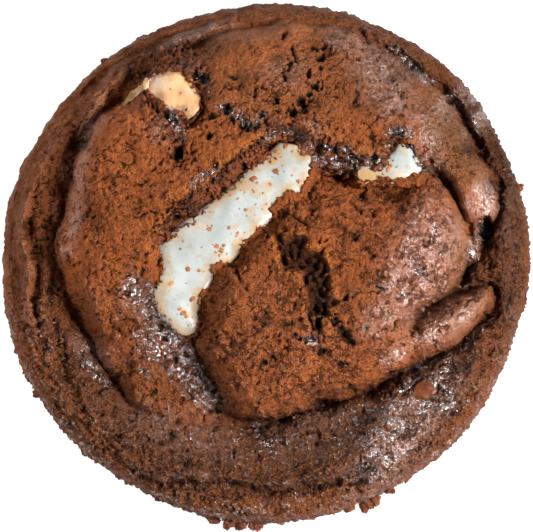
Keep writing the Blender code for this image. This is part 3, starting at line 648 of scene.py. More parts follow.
# scattered short cracks and pores
chance = np.random.default_rng(5)
inside_folds = np.maximum.reduce([upper, front]) > 1.2
dense = np.where(inside_folds, 0.34, 0.16) * (1 - 0.85 * smooth) * (opening < -0.6) * (EDGE > 1)
pores = np.zeros(PX.shape)
blob(pores, 185, 190, 50, 55, 1, 30, 0.6)
blob(pores, 120, 190, 45, 60, 0.8, 0, 0.6)
blob(pores, 210, 155, 35, 22, 1, 20, 0.6)
blob(pores, 300, 100, 60, 50, 0.7, 0, 0.6)
for x, y in chance.uniform(5, 528, (9000, 2)):
    i, j = int(x - LOW), int(y - LOW)
    if AWAY[i, j] > 49 or chance.random() > dense[i, j]:
        continue
    lean = 38 + 22 * chance.standard_normal() if x < 340 else -25 + 45 * chance.standard_normal()
    if pores[i, j] > chance.random():
        blob(pit, x, y, chance.uniform(0.8, 1.7), chance.uniform(0.7, 1.3), chance.uniform(0.5, 0.95), lean, 0.5)
        blob(relief, x, y, chance.uniform(0.8, 1.7), chance.uniform(0.7, 1.3), -chance.uniform(0.15, 0.4), lean, 0.5, "add")
    elif chance.random() < 0.5:
        long, half = chance.uniform(1.5, 4.2), chance.uniform(0.55, 0.95)
        c, n = long * math.cos(math.radians(lean)), -long * math.sin(math.radians(lean))
        bend = chance.uniform(-1.2, 1.2)
        line = [(x - c, y - n), (x + bend, y + bend), (x + c, y + n)]
        stroke(pit, line, half, chance.uniform(0.45, 1.0), smooth=False, taper=True)
        stroke(relief, line, half + 0.1, -chance.uniform(0.12, 0.5), smooth=False, taper=True, mode="add")

# a factor on the colour from place to place: partly the bake's own tone, partly painted light and shade, such as
# lighter paint on the left rim and the left flank of the upper mass, and painted shade below the front fold and along
# the right rim
tone_light_and_shade = np.ones(PX.shape)
for x, y, rx, ry, angle, v in [
    (385, 85, 60, 34, -40, -0.30), (460, 145, 48, 18, -58, -0.24), (28, 260, 28, 120, 0, 0.32), (290, 14, 90, 12, -5, -0.28),
    (95, 205, 40, 60, 0, -0.10), (215, 290, 30, 60, 0, -0.08), (225, 130, 40, 30, 20, -0.12), (60, 120, 24, 60, -40, 0.25),
    (430, 60, 60, 16, -42, -0.28), (510, 230, 16, 120, 0, -0.48), (270, 455, 130, 34, 0, -0.34), (90, 135, 50, 50, 0, 0.36), (280, 100, 60, 30, 0, 0.10), (370, 210, 50, 26, 0, 0.12), (320, 345, 30, 30, 0, 0.16), (75, 190, 30, 30, 0, 0.10), (20, 320, 20, 60, 0, 0.22), (24, 372, 22, 34, -20, 0.30), (370, 90, 40, 30, 0, -0.05), (374, 412, 26, 20, 0, -0.25), (190, 375, 26, 30, -40, -0.25), (412, 340, 26, 16, 32, 0.12), (330, 335, 20, 20, 0, 0.10), (75, 240, 14, 60, 0, 0.45),
    (50, 290, 14, 100, 0, 0.15), (488, 135, 50, 16, -60, -0.48), (374, 418, 34, 20, 30, -0.60), (305, 440, 60, 30, 0, -0.28),
    (140, 388, 56, 34, -38, -0.26), (235, 78, 70, 34, 0, -0.12), (62, 165, 18, 80, -20, 0.35), (108, 92, 26, 32, 0, 0.40),
    (425, 205, 30, 26, 0, -0.08), (150, 310, 22, 40, -30, -0.26), (350, 500, 90, 18, 12, 0.15), (330, 105, 26, 26, 0, -0.08),
]:
    blob(tone_light_and_shade, x, y, rx, ry, v, angle, 0.6, "add", ragged=0.1)
tone_light_and_shade = softened(tone_light_and_shade, 6)

# where the skin is crackled into small lumps
crackle = np.zeros(PX.shape)
for x, y, rx, ry, angle, v in [(300, 345, 90, 62, 15, 1.0), (405, 262, 60, 70, 60, 0.9), (350, 215, 60, 22, 10, 0.6),
                               (430, 305, 40, 14, 30, 0.5), (160, 210, 60, 40, 40, 0.4), (290, 95, 50, 50, 0, 0.45)]:
    blob(crackle, x, y, rx, ry, v, angle, 0.6, ragged=0.15)
crackle = np.maximum(crackle, step(11.5, 9, EDGE) * step(3, 5.5, EDGE) * step(6, -10, W) * (upper < 0) * (front < 0) * (tongue < 0))
crackle = np.clip(softened(crackle, 4) * (0.85 + 0.3 * ripple(103, 6.0)), 0, 1)

# slow swells of the dough, and the crease floors painted darker: partly damp dough, partly painted shade
relief += 0.26 * ripple(101, 9.0) * step(0, 4, EDGE) + 0.07 * ripple(102, 3.2) * (1 - 0.5 * smooth)
crevice = np.maximum(np.exp(-(beyond / 0.8) ** 2), 0.55 * np.exp(-beyond / (0.3 + 0.5 * wide)))
crevice = crevice * (beyond > 0) * (1 - fade) * np.clip(deep / 3.5, 0.3, 1)
crevice = np.maximum(crevice, (1 - joined) * np.exp(-(np.clip(-front, 0, None) / (1.2 - 0.6 * step(-1, 0.5, tongue))) ** 2) * (front < 0)
                     * (opening < -0.5) * 0.8)
stroke(crevice, [(145, 282), (153, 300), (164, 322), (178, 342), (192, 362), (204, 382), (214, 398)], 7, 0.85, ragged=2.5)
crevice = softened(crevice, 1.0)


# ---- meshes ---------------------------------------------------------------------------------------------------------
def round_grid(n):
    """A square grid of n x n cells pressed into a round one: radius 0 to 1, and angle, for each point."""
    a, b = np.meshgrid(np.linspace(-1, 1, n + 1), np.linspace(-1, 1, n + 1), indexing="ij")
    ring = np.maximum(abs(a), abs(b))
    flat = abs(a) >= abs(b)
    angle = np.where(flat, math.pi / 4 * b / np.where(a == 0, 1, a) + np.where(a < 0, math.pi, 0),
                     math.pi / 2 - math.pi / 4 * a / np.where(b == 0, 1, b) + np.where(b < 0, math.pi, 0))
    return ring, np.where(ring == 0, 0, angle)


def mesh_object(name, verts, faces, material, smooth_shade=True):
    mesh = bpy.data.meshes.new(name)
    mesh.from_pydata(verts.tolist() if hasattr(verts, "tolist") else verts, [], faces)
    mesh.validate()
    mesh.materials.append(material)
    if smooth_shade:
        mesh.shade_smooth()
    obj = bpy.data.objects.new(name, mesh)
    bpy.context.scene.collection.objects.link(obj)
    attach(obj, "root")
    return obj


def attribute(obj, name, values):
    layer = obj.data.attributes.new(name, "FLOAT", "POINT")
    layer.data.foreach_set("value", np.asarray(values, np.float32).ravel())


def vertex_normals(p, faces):
    """Area-weighted normals for quads or triangles given as an index array."""
    a, b = p[faces[:, 2]] - p[faces[:, 0]], p[faces[:, -1]] - p[faces[:, 1]]
    if faces.shape[1] == 3:
        a, b = p[faces[:, 1]] - p[faces[:, 0]], p[faces[:, 2]] - p[faces[:, 0]]
    n = np.cross(a, b)
    total = np.zeros_like(p)
    for k in range(faces.shape[1]):
        for c in range(3):
            total[:, c] += np.bincount(faces[:, k], n[:, c], len(p))
    return total / np.maximum(np.linalg.norm(total, axis=1, keepdims=True), 1e-12)


def dough_mesh():
    n = CELLS
    ring, angle = round_grid(n)
    # the grid's rings run evenly from the middle out to the rim's outline
    r = ring * rim_radius(angle)
    u, w = r * np.cos(angle), r * np.sin(angle)
    x, y = u / UNIT + 266, 266.5 - w / UNIT
    z = np.maximum(at(H, x, y), EDGE_Z - 0.6)
    z[ring > 0.9999] = EDGE_Z
    top = placed(u, w, z).reshape(-1, 3) * 1000
    index = np.arange((n + 1) ** 2).reshape(n + 1, n + 1)
    quads = np.stack([index[:-1, :-1], index[1:, :-1], index[1:, 1:], index[:-1, 1:]], -1).reshape(-1, 4)
    border = np.concatenate([index[:-1, 0], index[-1, :-1], index[:0:-1, -1], index[0, :0:-1]])
    rings, walls = [top], []
    before, count = border, len(top)
    levels = 16 if FINE else 10
    out = top[border, :2] / np.linalg.norm(top[border, :2], axis=1, keepdims=True)
    for k in range(1, levels + 1):
        down = k / levels
        tuck = TUCK * (1 - math.sqrt(max(0, 1 - down ** 2)))
        ringed = np.column_stack([top[border, :2] - out * tuck, np.full(len(border), EDGE_Z * (1 - down))])
        now = np.arange(len(border)) + count
        walls.append(np.stack([before, now, np.roll(now, -1), np.roll(before, -1)], -1))
        rings.append(ringed)
        before, count = now, count + len(border)
    # the underside: two rings in, then one face
    for share, lift in ((0.97, 0.0), (0.6, 0.0)):
        ringed = np.column_stack([(top[border, :2] - out * TUCK) * share, np.full(len(border), lift)])
        now = np.arange(len(border)) + count
        walls.append(np.stack([before, now, np.roll(now, -1), np.roll(before, -1)], -1))
        rings.append(ringed)
        before, count = now, count + len(border)
    p = np.concatenate(rings)
    walls = np.concatenate(walls)
    q = quads[n * (n // 2) + n // 2]
    if np.cross(p[q[2]] - p[q[0]], p[q[3]] - p[q[1]])[2] < 0:
        quads = quads[:, ::-1]
    q = walls[0]
    if np.dot(np.cross(p[q[2]] - p[q[0]], p[q[3]] - p[q[1]]), np.append(out[0], 0)) < 0:
        walls = walls[:, ::-1]
        last = before[::-1]
    else:
        last = before
    faces = np.concatenate([quads, walls])
    flat_x = np.concatenate([x.ravel(), np.tile(x.ravel()[border], levels + 2)])
    flat_y = np.concatenate([y.ravel(), np.tile(y.ravel()[border], levels + 2)])
    spin = np.concatenate([angle.ravel(), np.tile(angle.ravel()[border], levels + 2)])
    return p, faces, last, flat_x, flat_y, spin, len(top), levels * len(border)


p, faces, last, flat_x, flat_y, spin, top_count, wall_count = dough_mesh()
normal = vertex_normals(p, faces)
on_top = np.arange(len(p)) < top_count
on_wall = (np.arange(len(p)) >= top_count) & (np.arange(len(p)) < top_count + wall_count)
masks = {k: at(v, flat_x, flat_y) for k, v in dict(
    torn=torn, crust=crust, wet=wet, pit=pit, smooth=smooth, relief=relief, crevice=crevice, edge=EDGE, tan=tan,
    gloss_and_sheen=gloss_and_sheen, slick=slick, ridge=ridge, groove=groove, crackle=crackle, tone_light_and_shade=tone_light_and_shade,
    hole=step(0.1, 0.9, hole)).items()}
rim = step(9, 3, masks["edge"])
beside_rim = at(softened(np.clip(0.4 - np.maximum.reduce([upper, right, front, tongue]) * 0.8, 0, 1), 4), flat_x, flat_y)
side = np.clip(1 - normal[:, 2], 0, 1)
floor_fade = step(0.0, 1.2, p[:, 2]) * (on_top | on_wall)       # nothing is pushed below the table
rough = np.clip(1 - masks["smooth"], 0.12, 1)
crumbly = np.clip(masks["torn"] + 0.7 * masks["crust"] + 0.4 * masks["hole"], 0, 1)

along = np.stack([np.cos(spin) * 50, np.sin(spin) * 50, 0 * spin], 1)
across = np.stack([0 * spin, 0 * spin, (np.hypot(p[:, 0], p[:, 1]) - p[:, 2]) * 2.6], 1)
wrinkle = lumps(along / 1.9 + across, 3.2, 3) * rim
layered = lumps(along / 6 + across * 1.4, 2.2, 13) * step(5, 1, masks["edge"]) * np.where(on_wall, 1, 0.7)
far_left = step(-12, -34, p[:, 0])

height = masks["relief"] * np.where(on_top, 1, 0)
height = height + wrinkle * (0.30 + 0.25 * far_left)
height = height + layered * 0.16
height = height + lumps(p, 2.4, 4) * (0.08 + 0.22 * rim)
fine = lumps(p, 1.3, 5) * 0.20 + lumps(p, 0.8, 6) * 0.24
front_rim = rim * (0.45 + 0.55 * step(0.6, -0.3, np.sin(spin) - 0.3 * np.cos(spin)))
height = height + fine * np.maximum(rough, 0.8 * front_rim) * (1 + 0.4 * front_rim + 0.5 * masks["crackle"])
# the rim's dough is lumpy, and the crumb of the torn parts much more so
lumpy = np.clip(beside_rim, 0, 1) * step(0.5, 3.0, masks["edge"]) * (0.35 + 0.65 * rough)
height = height + (0.45 - grains(p, 1.5, 9)) * (0.60 * lumpy)
height = height + (0.45 - grains(p, 1.05, 7)) * (0.62 * crumbly)
height = height + (0.45 - grains(p, 0.62, 8)) * (0.34 * crumbly + 0.20 * rough + 0.28 * front_rim)
# the crackled skin is made of small rounded lumps
coarse, finer = grains(p, 1.5, 31), grains(p, 0.85, 32)
crackled = masks["crackle"] * np.clip(0.75 + 0.6 * lumps(p, 4.0, 33), 0.2, 1.2)
height = height + ((0.45 - coarse) * 0.42 + (0.45 - finer) * 0.26) * crackled
# the gaps between the lumps, painted darker in the colour as painted shade
hollow = np.clip(step(0.58, 0.80, coarse) + 0.7 * step(0.60, 0.85, finer), 0, 1) * np.clip(crackled, 0, 1)
# short cracks in the skin, mostly running up to the right
turn = math.radians(38)
slanted = np.stack([(p[:, 0] * math.cos(turn) + p[:, 1] * math.sin(turn)) * 0.6,
                    -p[:, 0] * math.sin(turn) + p[:, 1] * math.cos(turn), p[:, 2]], 1)
slanted = slanted + 0.35 * np.stack([lumps(p, 1.8, 14), lumps(p, 1.8, 15), lumps(p, 1.8, 16)], 1)
split = step(0.17, 0.06, gaps(slanted, 2.3, 17)) * step(0.06, 0.30, lumps(p, 2.6, 18)) * step(0.3, 0.8, rough)
split = split * step(-0.25, 0.15, lumps(p, 0.9, 20)) * on_top * (masks["edge"] > 1)
height = height - 0.50 * split * (0.6 + 0.4 * step(-0.5, 0.5, lumps(p, 7.0, 19)))
height = height * np.where(on_top, 1, floor_fade)
p = p + normal * height[:, None]
p[:, 2] = np.maximum(p[:, 2], 0)


# ---- materials ------------------------------------------------------------------------------------------------------
class Nodes:
    """A material with its Principled shader, and short ways to add and join nodes."""

    def __init__(self, name):
        self.material = bpy.data.materials.new(name)
        self.material.use_nodes = True
        self.tree = self.material.node_tree
        self.shader = self.tree.nodes["Principled BSDF"]
        self.place = self.tree.nodes.new("ShaderNodeTexCoord").outputs["Object"]

    def link(self, a, b):
        self.tree.links.new(a, b)

    def put(self, socket, value):
        if isinstance(value, bpy.types.NodeSocket):
            self.link(value, socket)
        else:
            socket.default_value = value

    def attribute(self, name):
        node = self.tree.nodes.new("ShaderNodeAttribute")
        node.attribute_name = name
        return node.outputs["Fac"]

    def noise(self, size, detail=2.0, rough=0.5, warp=0.0, output="Fac"):
        """Noise with humps about size mm apart, from 0 to 1."""
        node = self.tree.nodes.new("ShaderNodeTexNoise")
        self.link(self.place, node.inputs["Vector"])
        node.inputs["Scale"].default_value = 1000 / size
        node.inputs["Detail"].default_value = detail
        node.inputs["Roughness"].default_value = rough
        node.inputs["Distortion"].default_value = warp
        return node.outputs[output]

    def pushed(self, size, amount):
        """Places pushed about by noise, by up to about amount mm."""
        off = self.vector("SUBTRACT", self.noise(size, 2, output="Color"), (0.5, 0.5, 0.5))
        off = self.vector("MULTIPLY", off, (amount * 0.004,) * 3)
        return self.vector("ADD", self.place, off)

    def vector(self, kind, a, b):
        node = self.tree.nodes.new("ShaderNodeVectorMath")
        node.operation = kind
        self.put(node.inputs[0], a)
        self.put(node.inputs[1], b)
        return node.outputs[0]

    def cells(self, size, feature="F1", where=None):
        """Scattered cells about size mm across: the distance in cells, and a random number for each cell."""
        node = self.tree.nodes.new("ShaderNodeTexVoronoi")
        self.link(where or self.place, node.inputs["Vector"])
        node.feature = feature
        node.inputs["Scale"].default_value = 1000 / size
        if feature == "DISTANCE_TO_EDGE":
            return node.outputs["Distance"]
        parts = self.tree.nodes.new("ShaderNodeSeparateColor")
        self.link(node.outputs["Color"], parts.inputs[0])
        return node.outputs["Distance"], parts.outputs[0]

    def maths(self, kind, a, b=0.0, c=0.0, clamp=False):
        node = self.tree.nodes.new("ShaderNodeMath")
        node.operation = kind
        node.use_clamp = clamp
        for socket, value in zip(node.inputs, (a, b, c)):
            self.put(socket, value)
        return node.outputs[0]

    def range(self, value, low, high, to_low=0.0, to_high=1.0):
        node = self.tree.nodes.new("ShaderNodeMapRange")
        node.interpolation_type = "SMOOTHSTEP"
        for socket, v in zip(node.inputs, (value, low, high, to_low, to_high)):
            self.put(socket, v)
        return node.outputs[0]

    def mix(self, share, a, b, kind="MIX"):
        node = self.tree.nodes.new("ShaderNodeMix")
        node.data_type = "RGBA"
        node.blend_type = kind
        node.clamp_factor = True
        self.put(node.inputs[0], share)
        for socket, value in ((node.inputs[6], a), (node.inputs[7], b)):
            self.put(socket, (*value, 1) if isinstance(value, tuple) and len(value) == 3 else value)
        return node.outputs[2]

    def bump(self, height, strength, distance, after=None):
        node = self.tree.nodes.new("ShaderNodeBump")
        self.put(node.inputs["Strength"], strength)
        node.inputs["Distance"].default_value = distance / 1000
        self.link(height, node.inputs["Height"])
        if after is not None:
            self.link(after, node.inputs["Normal"])
        return node.outputs["Normal"]

    def set(self, **values):
        for name, value in values.items():
            self.put(self.shader.inputs[name.replace("_", " ")], value)


def dough_material():
    m = Nodes("chocolate_dough_look")
    names = ("torn", "crust", "wet", "pit", "grainy", "crevice", "raised", "rimmed", "tan", "gloss_and_sheen", "split", "wall",
             "crackle", "ridge", "groove", "hollow", "tone_light_and_shade", "shiny", "slick")
    a = {k: m.attribute(k) for k in names}
    slow, mid, lump, grain = m.noise(15, 2), m.noise(3.4, 2), m.noise(0.85, 2), m.noise(0.29, 2, 0.6)

    def times(*values):
        total = values[0]
        for v in values[1:]:
            total = m.maths("MULTIPLY", total, v)
        return total

    # how broken the skin is in each place
    open_skin = m.range(a["grainy"], 0.1, 0.8, 0.25, 1.0)
    zone = m.range(m.noise(6, 2), 0.36, 0.60, 0.25, 1.0)
    # gaps at the corners between small lumps, painted dark below as painted shade
    far, _ = m.cells(1.0, where=m.pushed(0.7, 0.40))
    valley = times(m.range(far, 0.50, 0.72), m.range(m.noise(2.0, 2), 0.40, 0.58, 0.3, 1.0), a["crackle"])
    # pores the size of a pinhead
    near, lucky = m.cells(0.66, where=m.pushed(0.4, 0.22))
    pore = times(m.range(near, 0.38, 0.22), m.range(lucky, 0.56, 0.60), m.range(mid, 0.38, 0.58, 0.3, 1.0), open_skin)
    # short jagged cracks with lighter, upturned edges
    border = m.cells(2.3, "DISTANCE_TO_EDGE", m.pushed(0.6, 0.60))
    short = times(m.range(m.noise(1.2, 2), 0.525, 0.560), zone, open_skin)
    line = times(m.range(border, 0.100, 0.050), short)
    edge = times(m.range(border, 0.22, 0.10), short)
    # a net of small broken cracks where the skin is crackled
    small = m.cells(1.5, "DISTANCE_TO_EDGE", m.pushed(0.5, 0.50))
    net = times(m.range(small, 0.135, 0.07), m.range(m.noise(1.7, 2), 0.485, 0.525), m.range(a["crackle"], 0.1, 0.7))
    broken = m.maths("MAXIMUM", m.maths("MAXIMUM", times(valley, 0.4), times(pore, 0.8)), m.maths("MAXIMUM", line, a["split"]))
    broken = m.maths("MAXIMUM", broken, times(net, 0.85), clamp=True)
    # the skin's colour
    colour = m.mix(m.range(slow, 0.3, 0.7), (0.340, 0.086, 0.0205), (0.388, 0.100, 0.0250))
    # painted sheen: greyer, paler brown on the right fold, the stretched edges and the tongue
    colour = m.mix(a["tan"], colour, (0.250, 0.100, 0.038))
    colour = m.mix(times(a["rimmed"], 0.85), colour, (0.162, 0.049, 0.0160))
    colour = m.mix(times(a["wall"], 0.9), colour, (0.172, 0.061, 0.033))
    # painted highlight along the fold crests, then painted shade in the grooves
    colour = m.mix(times(a["ridge"], 0.55), colour, (0.250, 0.105, 0.060))
    colour = m.mix(times(a["groove"], 0.38), colour, (0.060, 0.018, 0.009))
    # the bake's own tone together with painted light and shade
    colour = m.mix(1.0, colour, a["tone_light_and_shade"], "MULTIPLY")
    # painted sheen: the colour is greyed where the skin shines
    colour = m.mix(times(a["gloss_and_sheen"], 0.40), colour, (0.205, 0.095, 0.064))
    # tops and lows: a lighter and a darker colour. Mixed by the mid noise they are random tone; mixed by the grain and
    # lump noise, which also raise the bump, they are a painted highlight on the grain's tops and painted shade in its
    # lows
    tops = m.mix(0.45, colour, (0.62, 0.29, 0.155))
    lows = m.mix(0.72, colour, (0.036, 0.010, 0.003))
    colour = m.mix(m.range(mid, 0.50, 0.75, 0, 0.15), colour, tops)
    colour = m.mix(m.range(mid, 0.50, 0.25, 0, 0.15), colour, lows)
    colour = m.mix(times(m.range(grain, 0.53, 0.64), m.range(a["crackle"], 0, 1, 0.35, 0.60)), colour, tops)
    colour = m.mix(times(m.range(grain, 0.47, 0.36), m.range(a["crackle"], 0, 1, 0.30, 0.45)), colour, lows)
    colour = m.mix(times(m.range(lump, 0.46, 0.30), m.range(a["crackle"], 0, 1, 0.10, 0.22)), colour, lows)
    crumb = m.maths("MAXIMUM", times(a["crust"], m.range(lump, 0.38, 0.58, 0.3, 1.0)), times(edge, 0.5))
    colour = m.mix(crumb, colour, (0.56, 0.175, 0.036))
    colour = m.mix(times(a["torn"], 0.66), colour, (0.235, 0.066, 0.026))
    # painted shade: the colour darkens where the surface is pushed down
    colour = m.mix(m.range(a["raised"], -0.25, -1.0, 0, 0.75), colour, (0.035, 0.011, 0.005))
    # the crease floors painted darker: partly damp dough, partly painted shade
    colour = m.mix(times(a["crevice"], 0.60), colour, (0.032, 0.011, 0.006))
    # painted shade in the gaps between the crackled skin's lumps
    colour = m.mix(times(a["hollow"], 0.30), colour, (0.045, 0.013, 0.006))
    # painted shade: the cracks, pores and gaps between lumps, and the pits, cuts and hole, are painted near black
    colour = m.mix(times(broken, 0.90), colour, (0.020, 0.006, 0.003))
    colour = m.mix(times(a["pit"], 0.9), colour, (0.008, 0.004, 0.003))
    colour = m.mix(times(a["wet"], 0.75), colour, (0.026, 0.010, 0.006))
    rough = m.range(grain, 0.3, 0.7, 0.50, 0.62)
    rough = m.maths("SUBTRACT", rough, times(a["wet"], 0.30), clamp=True)
    # the height of the grain in mm
    high = m.maths("ADD", times(lump, 1.55), times(grain, 0.72))
    high = m.maths("ADD", high, times(far, a["crackle"], -0.30))
    grit = times(m.range(a["grainy"], 0, 1, 0.35, 1.0), m.range(a["wall"], 0, 1, 1.0, 0.5), m.range(a["gloss_and_sheen"], 0.2, 0.9, 1.0, 0.37), m.range(a["wet"], 0.2, 0.9, 1.0, 0.42), m.range(a["slick"], 0.1, 0.8, 1.0, 0.13))
    high = m.maths("SUBTRACT", times(high, grit), times(broken, 0.28))
    normal = m.bump(high, 1.0, 1.0)
    # a film of fat that shines on the plates between the cracks, and glints on the rim's crumb
    film = times(a["gloss_and_sheen"], m.range(lump, 0.38, 0.50, 0.35, 1.0))
    glint = times(m.range(a["rimmed"], 0, 1, 0.22, 0.70), a["shiny"], m.range(lump, 0.52, 0.62), m.range(mid, 0.42, 0.58, 0.2, 1.0))
    damp = times(a["wet"], m.range(lump, 0.36, 0.50, 0.25, 1.0))
    moist = m.maths("MAXIMUM", m.maths("MAXIMUM", film, glint), m.maths("MAXIMUM", damp, a["slick"]), clamp=True)
    tips = times(m.range(grain, 0.54, 0.63), m.range(a["crackle"], 0.1, 1, 0.0, 0.32))
    moist = m.maths("MAXIMUM", moist, tips)
    moist = times(moist, m.range(broken, 0.0, 0.8, 1.0, 0.05))
    m.set(Base_Color=colour, Roughness=rough, Normal=normal, Specular_IOR_Level=0.09)
    m.set(Coat_Weight=moist, Coat_Roughness=0.24, Coat_IOR=3.4, Coat_Normal=normal)
    return m.material


def filling_material(name, base, edge_tint, spot=None):
    m = Nodes(name)
    stain_and_highlight, brown = m.attribute("stain_and_highlight"), m.attribute("brown")
    cloud = m.noise(5, 2)
    colour = m.mix(m.range(cloud, 0.35, 0.7), base, tuple(min(1, c * 1.05) for c in base))
    colour = m.mix(m.range(m.noise(2.6, 2), 0.54, 0.68, 0.0, 0.50), colour, edge_tint)
    # brown stains on the white fillings' edges, and a painted highlight on the toasted one
    colour = m.mix(stain_and_highlight, colour, edge_tint)
    colour = m.mix(brown, colour, spot or edge_tint)
    normal = m.bump(m.noise(2.2, 2, 0.5), 1.0, 0.06)
    m.set(Base_Color=colour, Roughness=m.range(m.noise(2.5, 2), 0.3, 0.7, 0.24, 0.40), Normal=normal)
    m.set(Subsurface_Weight=0.35, Subsurface_Scale=0.0012, Subsurface_Radius=(1.0, 0.9, 0.75), Specular_IOR_Level=0.5)
    return m.material


def crumb_material():
    m = Nodes("crumb_look")
    fine = m.noise(0.5, 2, 0.6)
    colour = m.mix(m.range(m.noise(1.6, 2), 0.35, 0.65), (0.25, 0.076, 0.027), (0.14, 0.041, 0.015))
    # painted shade: darker where the bump sinks
    colour = m.mix(m.range(fine, 0.55, 0.35, 0, 0.7), colour, (0.11, 0.030, 0.012))
    m.set(Base_Color=colour, Roughness=0.6, Normal=m.bump(fine, 1.0, 0.5), Specular_IOR_Level=0.25)
    return m.material


def chip_material():
    m = Nodes("melted_chip_look")
    colour = m.mix(m.range(m.noise(1.2, 2), 0.35, 0.65), (0.120, 0.033, 0.012), (0.180, 0.052, 0.018))
    m.set(Base_Color=colour, Roughness=m.range(m.noise(1.0, 2), 0.3, 0.7, 0.22, 0.42),
          Normal=m.bump(m.noise(0.8, 2), 0.3, 0.15))
    return m.material


# ---- the dough --------------------------------------------------------------------------------------------------------
DOUGH = dough_material()
dough = mesh_object("dough", p / 1000, faces.tolist() + [last.tolist()], DOUGH)
attribute(dough, "torn", masks["torn"])
attribute(dough, "crust", masks["crust"])
attribute(dough, "wet", masks["wet"])
attribute(dough, "pit", np.clip(masks["pit"], 0, 1) * on_top)
attribute(dough, "grainy", rough)
attribute(dough, "crevice", masks["crevice"])
attribute(dough, "raised", height)
attribute(dough, "rimmed", np.clip(beside_rim, 0, 1))
attribute(dough, "split", split)
attribute(dough, "hollow", hollow * on_top)
attribute(dough, "tone_light_and_shade", masks["tone_light_and_shade"])
attribute(dough, "shiny", 0.12 + 0.88 * step(0.05, -0.40, np.sin(spin)))
attribute(dough, "crackle", masks["crackle"] * on_top)
attribute(dough, "ridge", masks["ridge"] * on_top)
attribute(dough, "groove", masks["groove"] * on_top)
attribute(dough, "wall", np.where(on_top, step(1.6, 0.2, masks["edge"]) * step(-0.2, -0.5, np.sin(spin)), on_wall))
attribute(dough, "tan", masks["tan"])
attribute(dough, "gloss_and_sheen", masks["gloss_and_sheen"] * on_top)
attribute(dough, "slick", masks["slick"] * on_top)
if FINE:
    fewer = dough.modifiers.new("fewer_faces", "DECIMATE")
    fewer.ratio = MOST_FACES / (2 * len(faces) + len(last) - 2)
    bpy.context.view_layer.update()
    thin = bpy.data.meshes.new_from_object(dough.evaluated_get(bpy.context.evaluated_depsgraph_get()))
    dough.modifiers.remove(fewer)
    dough.data = thin
    thin.name = "dough"
    thin.shade_smooth()
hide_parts("cookie")
print("dough", sum(len(f.vertices) - 2 for f in dough.data.polygons), "triangles")

# ---- the fillings -------------------------------------------------------------------------------------------------------
WHITE = filling_material("marshmallow_look", (0.440, 0.470, 0.448), (0.50, 0.30, 0.12))
TOASTED = filling_material("toasted_look", (0.90, 0.56, 0.27), (0.80, 0.64, 0.50), (0.46, 0.17, 0.055))
for name, (edges, tops, _, _, _, _, node) in FILLINGS.items():
    u, w, z = SURFACE[name]
    u, w, z = (v[::2] for v in (u, w, z))
    rings, around = u.shape
    x, y = u / UNIT + 266, 266.5 - w / UNIT
    q = placed(u, w, z).reshape(-1, 3)
    q = np.concatenate([q, q[:around].mean(0)[None], q[-around:].mean(0)[None]])
    k = np.arange(rings * around).reshape(rings, around)
    nxt = np.roll(k, -1, axis=1)
    quads = np.stack([k[:-1], nxt[:-1], nxt[1:], k[1:]], -1).reshape(-1, 4)
    area = np.cross(q[quads[around // 4, 2]] - q[quads[around // 4, 0]], q[quads[around // 4, 3]] - q[quads[around // 4, 1]])
    flip = area[2] < 0
    caps = [[len(q) - 2, b, a] for a, b in zip(k[0], nxt[0])] + [[len(q) - 1, a, b] for a, b in zip(k[-1], nxt[-1])]
    polys = quads.tolist() + caps
    if flip:
        polys = [f[::-1] for f in polys]
    obj = mesh_object(name, q, polys, TOASTED if name == "filling_toasted" else WHITE)
    inside = at(seen[name], x.ravel(), y.ravel())
    flat = np.append(x.ravel(), [0, 0]), np.append(y.ravel(), [0, 0])
    inside = np.append(inside, [0, 0])
    if name == "filling_main":
        lower = step(-0.3, 0.6, at(ripple(111, 4.0), *flat)) * 0.5 + 0.5
        stain_and_highlight = 0.80 * step(2.2, 0.0, inside) * lower * (0.35 + 0.65 * step(-10, 14, flat[0] + flat[1] * 0.9 - 395))
        brown = np.zeros(len(q))
    elif name == "filling_right":
        stain_and_highlight = step(388, 368, flat[0]) * 0.5 + 0.45 * step(166, 176, flat[1])
        brown = step(372, 360, flat[0]) * 0.35
    else:
        # the toasted filling's upper left is painted paler: a painted highlight
        stain_and_highlight = step(172, 155, flat[0]) * step(95, 78, flat[1])
        brown = np.zeros(len(q))
        for a, b, r, v in ((181, 93, 6, 0.45), (160, 97, 7, 0.7), (171, 89, 5, 0.25), (194, 108, 6, 0.5), (150, 88, 4, 0.6)):
            brown = np.maximum(brown, v * np.exp(-((flat[0] - a) ** 2 + (flat[1] - b) ** 2) / r ** 2))
        brown = np.maximum(brown, 0.7 * step(0.8, 0.0, inside))
    attribute(obj, "stain_and_highlight", np.clip(stain_and_highlight, 0, 1))
    attribute(obj, "brown", np.clip(brown, 0, 1))
    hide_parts(node)

